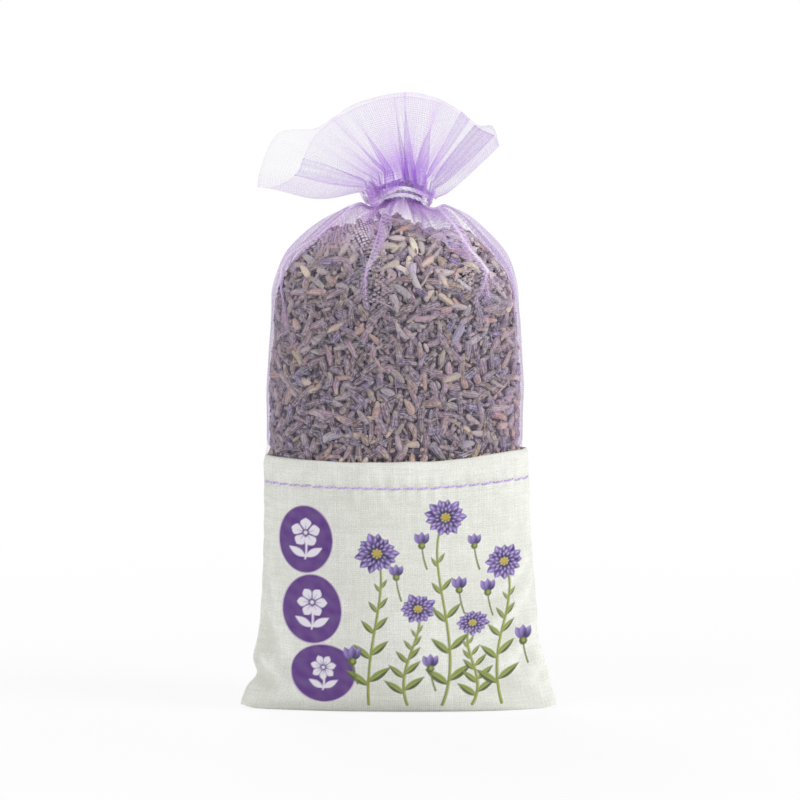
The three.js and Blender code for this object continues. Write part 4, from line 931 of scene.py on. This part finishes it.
# The large folds of each panel. Each lies at a share of the cloth's width and takes in some mm of
# cloth either side; 1 lays the cloth before it on top, -1 the cloth after it; its layers part by
# some mm. Then come its share across the skin and its overlap in mm at six heights, and its
# overlap at four shares of the fan. An overlap far enough below 0 means no fold.
FOLD_HEIGHTS = [94, 105, 112, 117, 122.6, 128]
FAN_SHARES = [0, 0.35, 0.7, 1]
FOLDS = {
    FRONT: [
        (0.19, 3.2, -1, 0.5,
         [0.19, 0.13, 0.09, 0.15, 0.2, 0.2], [-2.8, -1.4, 1.4, 2.6, 2.8, 1.6], [1.2, 3.0, 4.4, 4.8]),
        (0.44, 2.6, -1, 0.6,
         [0.44, 0.41, 0.42, 0.44, 0.455, 0.43], [-2.6, -1.8, 0.5, 1.5, 2.2, 1.4], [1.4, 0.6, -1.2, -2.4]),
        (0.58, 2.2, 1, 0.4,
         [0.58, 0.58, 0.58, 0.58, 0.58, 0.58], [-3, -3, -3, -2, -1, 0.6], [0.8, 0.8, -0.4, -1.2]),
        (0.72, 5.0, 1, 0.6,
         [0.72, 0.76, 0.79, 0.715, 0.67, 0.72], [-4.4, -3.4, 0.8, 5.0, 8.4, 3.6], [1.6, 0.4, -2.6, -4]),
        (0.9, 4.4, 1, 0.6,
         [0.9, 0.92, 0.93, 0.92, 0.92, 0.92], [-3, -1, 0.4, 1.4, 1.6, 1], [1.2, 3.0, 4.6, 5.6]),
    ],
    BACK: [
        (0.16, 3, 1, 0.5,
         [0.16, 0.15, 0.13, 0.14, 0.16, 0.16], [-2, -1, 0.6, 1.4, 1.6, 1.0], [0.8, -0.6, -2, -3]),
        (0.37, 3.2, 1, 0.6,
         [0.37, 0.36, 0.37, 0.38, 0.38, 0.38], [-2, -0.6, 1, 2, 2.4, 1.4], [1.0, 0.6, -1.2, -2.2]),
        (0.6, 3.4, -1, 0.6,
         [0.6, 0.61, 0.63, 0.62, 0.6, 0.6], [-2, 0, 1.4, 3.0, 3.4, 1.8], [1.2, 0.8, -0.6, -1.8]),
        (0.82, 3, 1, 0.5,
         [0.82, 0.84, 0.85, 0.83, 0.8, 0.8], [-2, -1, 0.8, 1.8, 2.0, 1.2], [1.2, 2.0, 3.0, 3.4]),
    ],
}


def smooth_line(points, shares):
    """Points of a smooth line through knots at shares of its length: cubic pieces whose slopes
    at each knot follow the line between its neighbours. Also gives the line's length."""
    knots = np.array(points, float)
    gap = np.linalg.norm(np.diff(knots, axis=0), axis=1) ** 0.5
    at = np.concatenate([[0], np.cumsum(gap)])
    slope = np.gradient(knots, at, axis=0)
    t = np.linspace(0, at[-1], 1200)
    i = np.clip(np.searchsorted(at, t, side="right") - 1, 0, len(at) - 2)
    span = (at[i + 1] - at[i])[:, None]
    s = ((t - at[i]) / span[:, 0])[:, None]
    line = (knots[i] * (1 + 2 * s) * (1 - s) ** 2 + knots[i + 1] * s * s * (3 - 2 * s)
            + slope[i] * span * s * (1 - s) ** 2 + slope[i + 1] * span * s * s * (s - 1))
    run = np.concatenate([[0], np.cumsum(np.linalg.norm(np.diff(line, axis=0), axis=1))])
    return np.stack([np.interp(shares * run[-1], run, line[:, k]) for k in range(3)], axis=-1), run[-1]


TURN_AT = 0.447  # where the odd curve of a fold, -t (1 - t²)², turns back; it is 1 / 3.5 high there
FOLD_EDGE = 0.42


def laid_folds(side, cloth_share, spots, overlaps, length):
    """Where all large folds of a panel take its cloth. Within a fold the shift across is an odd
    curve, -t (1 - t²)², so strong that the cloth runs forwards, back and forwards again, and its
    three layers part outwards by a smooth step. The cloth between folds is spread evenly over
    the skin. Gives the share across the skin, the offset outwards in mm, how far inside a fold
    a point is, 0 to 1, and how near to a fold's edge."""
    knots = np.array([0] + [fold[0] for fold in FOLDS[side]] + [1])
    still = np.zeros_like(length)[..., None]
    moved = np.concatenate([still, spots - knots[1:-1], still], axis=-1)
    place = np.clip(np.searchsorted(knots, cloth_share, side="right") - 1, 0, len(knots) - 2)
    share = (cloth_share - knots[place]) / (knots[place + 1] - knots[place])
    across = cloth_share + moved[..., place] * (1 - share) + moved[..., place + 1] * share
    out, within, edge = np.zeros((3,) + across.shape)
    for k, (middle, half, on_top, lift, *_) in enumerate(FOLDS[side]):
        t = (cloth_share - middle) * CLOTH_WIDTH / half
        inside = np.clip(1 - t * t, 0, 1)
        reach = (overlaps[..., k] + 2 * TURN_AT * half * length / CLOTH_WIDTH) / 2
        reach = np.maximum(reach, 0)[..., None]
        across = across - 3.5 * t * inside ** 2 * reach / length[..., None]
        laid = np.minimum(reach / 0.8, 1)
        out = out - on_top * np.tanh(2.5 * t) * inside * lift * laid
        within = within + np.exp(-(t / FOLD_EDGE) ** 4) * laid
        edge = edge + np.exp(-((np.abs(t) - FOLD_EDGE) / 0.1) ** 2) * laid
    return across, out, within, edge


def pleats(u, seed):
    """Shallow pleats and fine ones as 0 to 1 across a panel: waves of uneven length whose crests
    are broad and whose valleys are narrow. Both are 0 at the seams."""
    random = np.random.default_rng(seed)
    phase = random.uniform(0, 2 * np.pi, 4)
    warp = u + 0.012 * np.sin(2 * np.pi * 2 * u + phase[0])
    warp = warp + 0.008 * np.sin(2 * np.pi * 5 * u + phase[1])
    main = 0.5 - 0.5 * np.cos(2 * np.pi * PLEATS * warp)
    height = 0.75 + 0.25 * np.sin(2 * np.pi * 3 * u + phase[2])
    drift = 1.3 * np.sin(2 * np.pi * 4 * u + phase[3])
    fine = 0.5 - 0.5 * np.cos(2 * np.pi * FINE_PLEATS * warp + drift)
    ends = ease(u / 0.04) * ease((1 - u) / 0.04)
    return main ** 1.3 * height * ends, fine * ends


def level_out(side, behind, ahead):
    """The level unit directions outwards, square to the step between points behind and ahead."""
    step = (ahead - behind) * -side
    out = np.stack([step[..., 1], -step[..., 0], np.zeros(step.shape[:-1])], axis=-1)
    return out / np.maximum(np.linalg.norm(out, axis=-1, keepdims=True), 1e-9)


def fan_at(side, share, u, rim_share):
    """A point of the ruffle: on a straight line from the neck's top to the rim, lowered by
    sines of its share near the seams, where the ruffle droops."""
    top = skin(side, u, NECK_FOOT) + np.array([0, 0, NECK_TOP - NECK_FOOT])
    rim = smooth_line(RIM[side], np.clip(rim_share, 0, 1))[0]
    rim = rim[..., [0, 2, 1]] * np.array([1, side, 1]) + np.array([0, side * 0.05, 0])
    point = top * (1 - share[..., None]) + rim * share[..., None]
    point[..., 2] -= 2.6 * (1 - ease(rim_share / 0.2)) * np.sin(np.pi * share) ** 2
    near_right = (1 - ease((1 - rim_share) / 0.14)) * ease(share / 0.12)
    point[..., 2] -= 4.0 * near_right * np.sin(np.pi * np.clip(share, 0, 1) ** 0.6)
    return point


def gathered(points, flat):
    """How many layers' worth of cloth lies at each point: its flat area over its area as laid."""
    wide = np.linalg.norm(np.gradient(points, axis=1), axis=-1)
    tall = np.linalg.norm(np.gradient(points, axis=0), axis=-1)
    flat_wide = np.abs(np.gradient(flat[..., 0], axis=1))
    flat_tall = np.abs(np.gradient(flat[..., 1], axis=0))
    return flat_wide * flat_tall / np.maximum(wide * tall, 1e-6)


def body_rows(side, share, main, fine, seed):
    """The rows of a panel up to the foot of the neck: the skin, laid in large folds, drawn in
    along its pleats, and puffed up a little over the shoulders. Gives the points, their shares
    across the skin, their offsets from it, the folds' two measures, and the skin's widths."""
    heights = np.concatenate([
        np.linspace(CLOTH_FOOT, 96, 36), np.linspace(97, 120, 50), np.linspace(120.3, NECK_FOOT, 44),
    ])
    spots = np.stack([np.interp(heights, FOLD_HEIGHTS, fold[4]) for fold in FOLDS[side]], axis=-1)
    laps = np.stack([np.interp(heights, FOLD_HEIGHTS, fold[5]) for fold in FOLDS[side]], axis=-1)
    fine_u = np.linspace(0, 1, 400)
    length = np.linalg.norm(np.diff(skin(side, fine_u, heights[:, None]), axis=1), axis=-1).sum(axis=1)
    u, out, within, edge = laid_folds(side, share, spots, laps, length)
    tuck = 1 - ease((heights - HEM_HEIGHT) / 4)[:, None]
    u = 0.045 * tuck + (1 - 0.09 * tuck) * np.clip(u, 0, 1)
    proud = ease((heights - 100) / 10) * (1 - ease((heights - 116) / 8))
    inset = 0.15 + 1.5 * tuck - 0.55 * proud[:, None]
    body = skin(side, u, heights[:, None], inset)
    behind, ahead = [skin(side, u + step, heights[:, None]) for step in (-0.004, 0.004)]
    normal = level_out(side, behind, ahead)
    grown = ease((heights - 114) / (NECK_FOOT - 114))[:, None]
    held = ease((heights - 124) / 3)[:, None]
    depth = bag(PLEAT, heights)[:, None] * main * (0.8 - 0.25 * grown) + 1.0 * grown ** 4 * fine
    wander = 0.22 * ripple(body, 14, seed + 3) * ease((heights - 66) / 10)[:, None] * (1 - grown)
    off_skin = out - 0.6 * held - depth
    body = body + normal * (off_skin + wander)[..., None]
    from_middle = np.abs(body[..., 0] - NECK_LEAN)
    puff = 1.8 * ease((from_middle - 7.6) / 3.2) * (1 - ease((from_middle - 11) / 11))
    body[..., 2] += puff * ease((heights - 116) / 5)[:, None]
    return body, u, off_skin, within, edge, length


def ruffle_rows(side, share, main, fine, neck, seed):
    """The rows of a panel above the tie: straight lines from the neck's top to the rim, swayed and
    crimped by its pleats, and laid in folds that open or close towards the rim. Gives the
    points and the folds' two measures. The neck is its shares, offsets and width."""
    neck_u, neck_out, neck_length = neck
    fan_share = np.linspace(0, 1, 92)[:, None] ** 1.35
    rim_length = smooth_line(RIM[side], share)[1]
    laps = np.stack([np.interp(fan_share[:, 0], FAN_SHARES, fold[6]) for fold in FOLDS[side]], axis=-1)
    middles = np.broadcast_to(np.array([fold[0] for fold in FOLDS[side]]), laps.shape)
    length = neck_length + (rim_length - neck_length) * fan_share[:, 0]
    rim_u, rim_out, within, edge = laid_folds(side, share, middles, laps, length)
    rim_u = np.clip(rim_u, 0, 1)
    fan_u = np.broadcast_to(neck_u, rim_u.shape)
    fan = fan_at(side, fan_share, fan_u, rim_u)
    behind, ahead = [fan_at(side, fan_share, fan_u, rim_u + step) for step in (-0.01, 0.01)]
    normal = level_out(side, behind, ahead)
    sway = np.sin(2 * np.pi * 7 * share + seed) * 0.8
    sway = sway * np.sin(np.pi * np.clip(fan_share * 1.1, 0, 1)) ** 1.2
    crimp = 0.8 * (0.5 - fine) * (1 - ease(fan_share / 0.5)) * ease(fan_share / 0.05)
    wide = 0.9 * (0.5 - main) * ease(fan_share / 0.15) * (1 - 0.8 * ease((fan_share - 0.3) / 0.7))
    opened = ease(fan_share / 0.3)
    offset = neck_out * (1 - opened) + rim_out * opened + sway + crimp + wide
    # Just above the tie the bunched cloth swells into rolls that hang over the tie's two ends.
    t = fan_share / 0.15
    roll = 0.1 + 0.95 * ease((2 - fan[..., 0]) / 4) + 0.85 * ease((fan[..., 0] - 3) / 3)
    roll = roll * (0.9 + 0.12 * np.sin(2 * np.pi * 7 * share + seed))
    offset = offset + 2.6 * roll * ease(t / 0.4) * (1 - ease((t - 0.6) / 0.6)) * np.abs(normal[..., 1])
    fan = fan + normal * offset[..., None]
    fan[..., 2] -= 4.5 * roll * np.exp(-((t - 0.5) / 0.25) ** 2) * np.abs(normal[..., 1])
    return fan, within, edge


def organza_panel(side, columns, seed):
    """A panel of the organza bag: rows up the body, upright rows through the neck, and the rows of
    the ruffle. Gives the points, their places on the flat cloth, and its cover."""
    share = np.linspace(0, 1, columns)[::-side]
    main, fine = pleats(share, seed)
    body, u, off_skin, within, edge, length = body_rows(side, share, main, fine, seed)
    rise = np.linspace(0, NECK_TOP - NECK_FOOT, 8)[1:-1]
    throat = body[-1] + np.array([0, 0, 1]) * rise[:, None, None]
    neck = np.clip(u[-1], 0, 1), off_skin[-1], length[-1]
    fan, rim_within, rim_edge = ruffle_rows(side, share, main, fine, neck, seed)
    grid = np.concatenate([body, throat, fan])
    within, edge = [
        np.concatenate([low, np.repeat(low[-1:], len(throat), axis=0), high])
        for low, high in ((within, rim_within), (edge, rim_edge))
    ]
    steps = np.linalg.norm(np.diff(grid, axis=0), axis=-1).mean(axis=1)
    run = np.concatenate([[0], np.cumsum(steps)])
    flat = np.stack(np.broadcast_arrays(((share - 0.5) * CLOTH_WIDTH)[None], run[:, None]), axis=-1)
    return grid, flat, organza_cover(grid, flat, share, within, edge, seed)


# Where the beats between crossed layers show: across, height, half width, half height, strength.
BEATS = (
    (-11, 121, 8, 6, 1), (-6.5, 110, 6, 8, 0.9), (14, 120.5, 5, 6, 0.9), (18, 111, 6, 7, 0.9),
    (-21, 119, 6, 5, 0.8), (-5, 92, 4, 9, 0.45), (12, 97, 8, 6, 0.35), (-22, 98, 6, 7, 0.35),
)


# Two sharp ridges run down from the neck over the shoulders, drawn as lines of painted glint:
# height and across, in mm.
LEFT_RIDGE = np.array([
    (112, -29.4), (115, -27.8), (118, -23.8), (120, -20.5), (123, -17), (127, -12.2), (129.5, -7.9),
])
RIGHT_RIDGE = np.array([(106, 25), (111, 23), (114, 20.9), (117, 18), (123, 14.2), (129.5, 7.9)])


def organza_cover(grid, flat, share, within, edge, seed):
    """How a panel of organza looks at each point: how many layers' worth of yarn lie there, how
    deep the colour is, how much painted glint it carries, and how much the yarns of crossed
    layers beat."""
    x, z = grid[..., 0], grid[..., 2]
    above = ease((z - 133) / 4)
    bunched = np.exp(-((x - 1) / 13) ** 2 - ((z - 134) / 10) ** 2)
    violet = np.exp(-((x - 0.5) / 8.5) ** 2 - ((z - 137) / 5) ** 2)
    below = np.exp(-((z - 128.5) / 3) ** 2 - ((x - 1.5) / 9) ** 2) * (1 - above)
    # Between the ridges the cloth is doubled, and beyond them it is a little denser.
    left, right = [np.interp(z, *ridge.T) for ridge in (LEFT_RIDGE, RIGHT_RIDGE)]
    flap = ease((x - 2.2) / 1.2) * ease((right - x) / 1.2) * ease((z - 123) / 2)
    shoulder = 2.2 * ease((x - left) / 1.2) * ease((-3 - x) / 2) * ease((z - 115) / 6)
    flap = (flap + shoulder) * (1 - above)
    outer = (ease((left - x) / 1.5) + 0.3 * ease((x - right) / 1.5)) * ease((z - 112) / 5) * (1 - above)
    # Painted glint: lines of near-white colour and extra cover along the two ridges.
    ridges = np.exp(-((x - left) / 0.4) ** 2) + np.exp(-((x - right) / 0.4) ** 2)
    ridges = ridges * ease((z - 107) / 5) * ease((130 - z) / 1.5)
    # Under the tie and between its two turns, where the tie squeezes it, the cloth gets painted
    # glint too: it is painted pale and dense.
    from_middle = (x - NECK_LEAN) / (NECK_WIDE + TIE_REACH)
    tie_middle = TIE_HEIGHT + NECK_ARCH * (0.5 - from_middle ** 2)
    banded = np.exp(-((z - tie_middle) / 1.1) ** 4) * ease((8 - np.abs(x - NECK_LEAN)) / 2)
    # Painted glint on fold edges near the top, on the ridges and under the tie; it adds cover too.
    glint = np.clip(0.5 * edge * (1 - above) * ease((z - 98) / 8) + ridges, 0, 1)
    glint = np.maximum(glint, 0.6 * banded)
    strip = ease((share - 0.86) / 0.03) * above
    # Between the middle fold and the right ridge one smooth layer lies over the top of the heap.
    smooth = np.exp(-((x - 3.5) / 6.5) ** 4 - ((z - 120) / 4) ** 4)
    density = np.clip(gathered(grid, flat), 0.85, 2.6 + 1.0 * bunched) * (1 - 0.55 * smooth)
    density = density + 0.8 * above * np.exp(-((x - 2) / 16) ** 2) + 1.15 * violet + 1.9 * below
    density = density + 0.9 * flap + 0.7 * outer + 0.4 * edge * above + 9 * glint + 0.5 * strip
    density = density + 1.5 * within * (1 - 0.75 * above) * (0.3 + 0.7 * ease((z - 97) / 15))
    along = flat[:, :1, 1] * 0.12
    streaks = ripple(np.stack(np.broadcast_arrays(share * 90, along), axis=-1), 2.2, seed + 5)
    density = density * (1 + 0.3 * streaks * ease((density - 1.2) / 2))
    density[-3:] *= np.array([1.1, 1.5, 2.0])[:, None]  # the cut edge frays
    deep = np.clip(1.1 * violet + 0.1 * below + 0.15 * within + 0.2 * strip, 0, 1) * (1 - 0.8 * banded)
    beats = 0
    for cx, cz, wide, tall, much in BEATS:
        beats = np.maximum(beats, much * np.exp(-((x - cx) / wide) ** 2 - ((z - cz) / tall) ** 2))
    patchy = ripple(np.stack([x, z], axis=-1), 9, seed + 7)
    beats = np.clip(beats * (0.9 + 0.6 * patchy), 0, 1) * (1 - np.clip(2 * glint, 0, 1)) * (1 - above)
    return np.stack([density, deep, glint, beats], axis=-1)


def seam_strip(side, hand):
    """The seam allowance of a panel, inside the bag along one side seam: a strip 4 mm wide that
    narrows to the neck."""
    heights = np.linspace(56, 124, 40)
    wide = SEAM_ALLOWANCE * (1 - 0.7 * ease((heights - 104) / 16))
    across = np.linspace(0, 1, 5)
    x = (bag(WIDE, heights) - 0.15)[:, None] - wide[:, None] * across
    x = bag(LEAN, heights)[:, None] + hand * x
    y = side * (0.12 + 0.25 * across[None] * np.sin(heights[:, None] * 0.5 + 2 * hand) ** 2)
    z = np.broadcast_to(heights[:, None], x.shape)
    grid = np.stack([x, np.broadcast_to(y, x.shape), z], axis=-1)
    if hand * side > 0:
        grid = grid[:, ::-1]
    density = np.ones(x.shape + (4,)) * (1 + 1.2 * (across > 0.9))[:, None] * np.array([1, 0, 0, 0])
    return grid, np.stack([40 + wide[:, None] * across, z], axis=-1), density


for side, name, seed in ((FRONT, "front", 61), (BACK, "back", 62)):
    grids = [organza_panel(side, 440, seed), seam_strip(side, -1), seam_strip(side, 1)]
    sheer = cloth("organza_bag_" + name, grids, organza)
    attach(sheer, "root")
    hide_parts("organza_" + name + "_panel")

# Neck tie: a thin three-ply cord of pale lilac rayon, wound twice round the pleats and pulled
# tight. Its plies are laid round its middle line once every 4 mm.
rayon, nodes = material("pale lilac twisted rayon cord")
at = add(nodes, "UVMap", uv_map="cloth_mm").outputs["UV"]
# Fine filaments, drawn 0.25 mm apart so that they show, run along each ply.
along = add(nodes, "Mapping", {"Vector": at, "Scale": (0.4, 4, 1)}).outputs["Vector"]
filaments = add(nodes, "TexNoise", {"Vector": along, "Scale": 1.0, "Detail": 2}).outputs["Fac"]
shade = add(nodes, "ValToRGB", {"Fac": filaments}, ((0.3, "#c9bfdf"), (0.7, "#fdfbff")))
bump = add(nodes, "Bump", {"Height": filaments, "Strength": 0.8, "Distance": 0.0001}).outputs["Normal"]
body = add(nodes, "BsdfPrincipled", {
    "Base Color": shade.outputs["Color"], "Roughness": 0.35, "Normal": bump, "Sheen Weight": 0.3,
})
add(nodes, "OutputMaterial", {"Surface": body.outputs[0]})


PLY_OFFSET = 0.27
PLY_RADIUS = 0.28


def plied(path, twists, square=ASKEW):
    """A three-ply cord along a path of points in mm: each ply's middle is a helix a little off the
    path, and the ply is a tube. Its ends taper a little, as if cut and sealed."""
    along = np.gradient(path, axis=0)
    along /= np.linalg.norm(along, axis=-1, keepdims=True)
    level = np.cross(np.array(square), along)
    level /= np.linalg.norm(level, axis=-1, keepdims=True)
    up = np.cross(along, level)
    steps = np.concatenate([[0], np.cumsum(np.linalg.norm(np.diff(path, axis=0), axis=1))])
    angle = 2 * np.pi * (twists * steps / steps[-1] + np.arange(3)[:, None] / 3)
    middles = path + PLY_OFFSET * (level * np.cos(angle)[..., None] + up * np.sin(angle)[..., None])
    end = np.minimum(steps, steps[-1] - steps)
    radii = PLY_RADIUS - 0.08 * (1 - ease(end / 0.5))
    return tubes(middles, np.broadcast_to(radii, (3, len(path))), 8, square)


TIE_PITCH = 1.65


def tie_path(count):
    """Two turns round the neck's ellipse that climb a pitch a turn, arch up front and back, and
    stand off behind where they meet the knot."""
    start = 0.042
    turns = np.linspace(start, 2 - start, count)
    angle = 2 * np.pi * turns
    from_end = np.minimum(turns, 2 - turns)
    lifted = 1 - ease((from_end - start) / 0.12)
    reach = TIE_REACH + 1.5 * lifted
    climb = TIE_PITCH * (turns - 1) * (1 - 0.5 * lifted ** 3)
    arch = NECK_ARCH * (np.cos(angle) ** 2 - 0.5)
    x = NECK_LEAN + (NECK_WIDE + reach) * np.sin(angle)
    y = (NECK_DEEP + reach) * np.cos(angle)
    return np.stack([x, y, TIE_HEIGHT + climb + arch], axis=-1)


around_neck = tie_path(420)
tie = cloth("neck_tie_cord", plied(around_neck, 18), rayon)
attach(tie, "root")
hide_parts("neck_tie")

# Neck tie's knot, behind: the same cord's two ends, looped through each other and left as two
# short tails that stand off the bag and droop.
middle = (around_neck[0] + around_neck[-1]) / 2 + np.array([0, 1, 0])
LOOP_RADIUS = 0.95
grids = []
for way in (1, -1):
    swing = np.linspace(0, 2 * np.pi, 49)
    tip, turn = np.pi / 2 + 0.5 * way, 0.5 * way
    x, rise = LOOP_RADIUS * np.cos(swing), LOOP_RADIUS * np.sin(swing)
    y, z = rise * np.cos(tip), rise * np.sin(tip) + 0.275 * way
    across, out = x * np.cos(turn) - y * np.sin(turn), x * np.sin(turn) + y * np.cos(turn)
    ring = np.stack([across, out, z], axis=-1)
    axle = (np.sin(tip) * np.sin(turn), -np.sin(tip) * np.cos(turn), np.cos(tip))
    grids += plied(middle + ring, 2, axle)
    share = np.linspace(0, 1, 60)
    tail = np.stack([3 * way * share, 4 * np.sin(np.pi / 2 * share), -7 * share ** 2], axis=-1)
    grids += plied(middle + tail, 2.8, (1, 0.1, 0))
knot = cloth("neck_tie_knot_cord", grids, rayon)
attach(knot, "root")
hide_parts("neck_tie_knot")

# The studio: a wide pale floor that keeps the sachet's shadow and is white to the camera, two
# soft lamps and a weaker one behind, with a plain white room around them.
def seen_straight(nodes):
    """1 for rays from the camera, and for those that a gloss or a clear thing passes on."""
    rays = add(nodes, "LightPath").outputs
    seen = rays["Is Camera Ray"]
    for kind in ("Is Glossy Ray", "Is Transmission Ray"):
        seen = add(nodes, "Math", {0: seen, 1: rays[kind]}, operation="MAXIMUM").outputs[0]
    return seen


studio, nodes = material("white seamless paper")
place = add(nodes, "TexCoord").outputs["Object"]
far = add(nodes, "VectorMath", {0: place}, operation="LENGTH").outputs["Value"]
# The paper is blown out to white except close to the sachet, where its shadow stays.
blown = {"Value": far, "From Min": 0.08, "From Max": 0.3, "To Min": 0.86, "To Max": 1.0}
blown = add(nodes, "MapRange", blown).outputs[0]
veil = add(nodes, "Math", {0: seen_straight(nodes), 1: blown}, operation="MULTIPLY").outputs[0]
paper = add(nodes, "BsdfDiffuse", {"Color": linear("#f4f4f4")})
glow = add(nodes, "Emission", {"Color": (1, 1, 1, 1), "Strength": 1.0})
body = add(nodes, "MixShader", {0: veil, 1: paper.outputs[0], 2: glow.outputs[0]})
add(nodes, "OutputMaterial", {"Surface": body.outputs[0]})
near = np.stack(np.meshgrid(np.linspace(-3000, 3000, 9), np.linspace(-3000, 5000, 9)), axis=-1)
ground = np.concatenate([near, np.zeros((9, 9, 1))], axis=-1)
floor = cloth("studio_floor", [(ground, near)], studio)

world = bpy.data.worlds.new("white studio room")
bpy.context.scene.world = world
world.use_nodes = True
nodes = world.node_tree.nodes
nodes.clear()
room = add(nodes, "Background", {"Color": linear("#f7f7fb"), "Strength": 0.42})
white = add(nodes, "Background", {"Color": (1, 1, 1, 1), "Strength": 1.0})
both = add(nodes, "MixShader", {0: seen_straight(nodes), 1: room.outputs[0], 2: white.outputs[0]})
add(nodes, "OutputWorld", {"Surface": both.outputs[0]})


def turn_to(thing, target):
    """Points a lamp or a camera at a target in metres."""
    thing.rotation_euler = (target - thing.location).to_track_quat("-Z", "Y").to_euler()


for name, place, size, power in (
    # place and size in metres, power in watts
    ("key softbox", (1.2, -0.48, 0.6), 0.5, 12.4),
    ("fill softbox", (-0.95, -0.7, 0.4), 0.8, 5.3),
    ("rim softbox", (-0.2, 0.75, 0.8), 0.6, 4.0),
):
    lamp = bpy.data.lights.new(name, "AREA")
    lamp.shape, lamp.size, lamp.energy = "SQUARE", size, power
    holder = bpy.data.objects.new(name, lamp)
    holder.location = place
    turn_to(holder, Vector((0, 0, 0.07)))
    bpy.context.collection.objects.link(holder)

# The camera looks down by 7 degrees from far off, and its frame is 0.2016 m wide at the sachet.
CAMERA_DISTANCE = 1.6
FRAME_WIDTH = 0.2016
lens = bpy.data.cameras.new("product camera")
lens.sensor_width = 36
lens.lens = lens.sensor_width * CAMERA_DISTANCE / FRAME_WIDTH
camera = bpy.data.objects.new("product camera", lens)
aim = Vector((0.00038, 0, 0.0782))
tilt = np.radians(7)
camera.location = aim + Vector((0, -np.cos(tilt), np.sin(tilt))) * CAMERA_DISTANCE
turn_to(camera, aim)
bpy.context.collection.objects.link(camera)
bpy.context.scene.camera = camera
bpy.context.scene.view_settings.view_transform = "Standard"
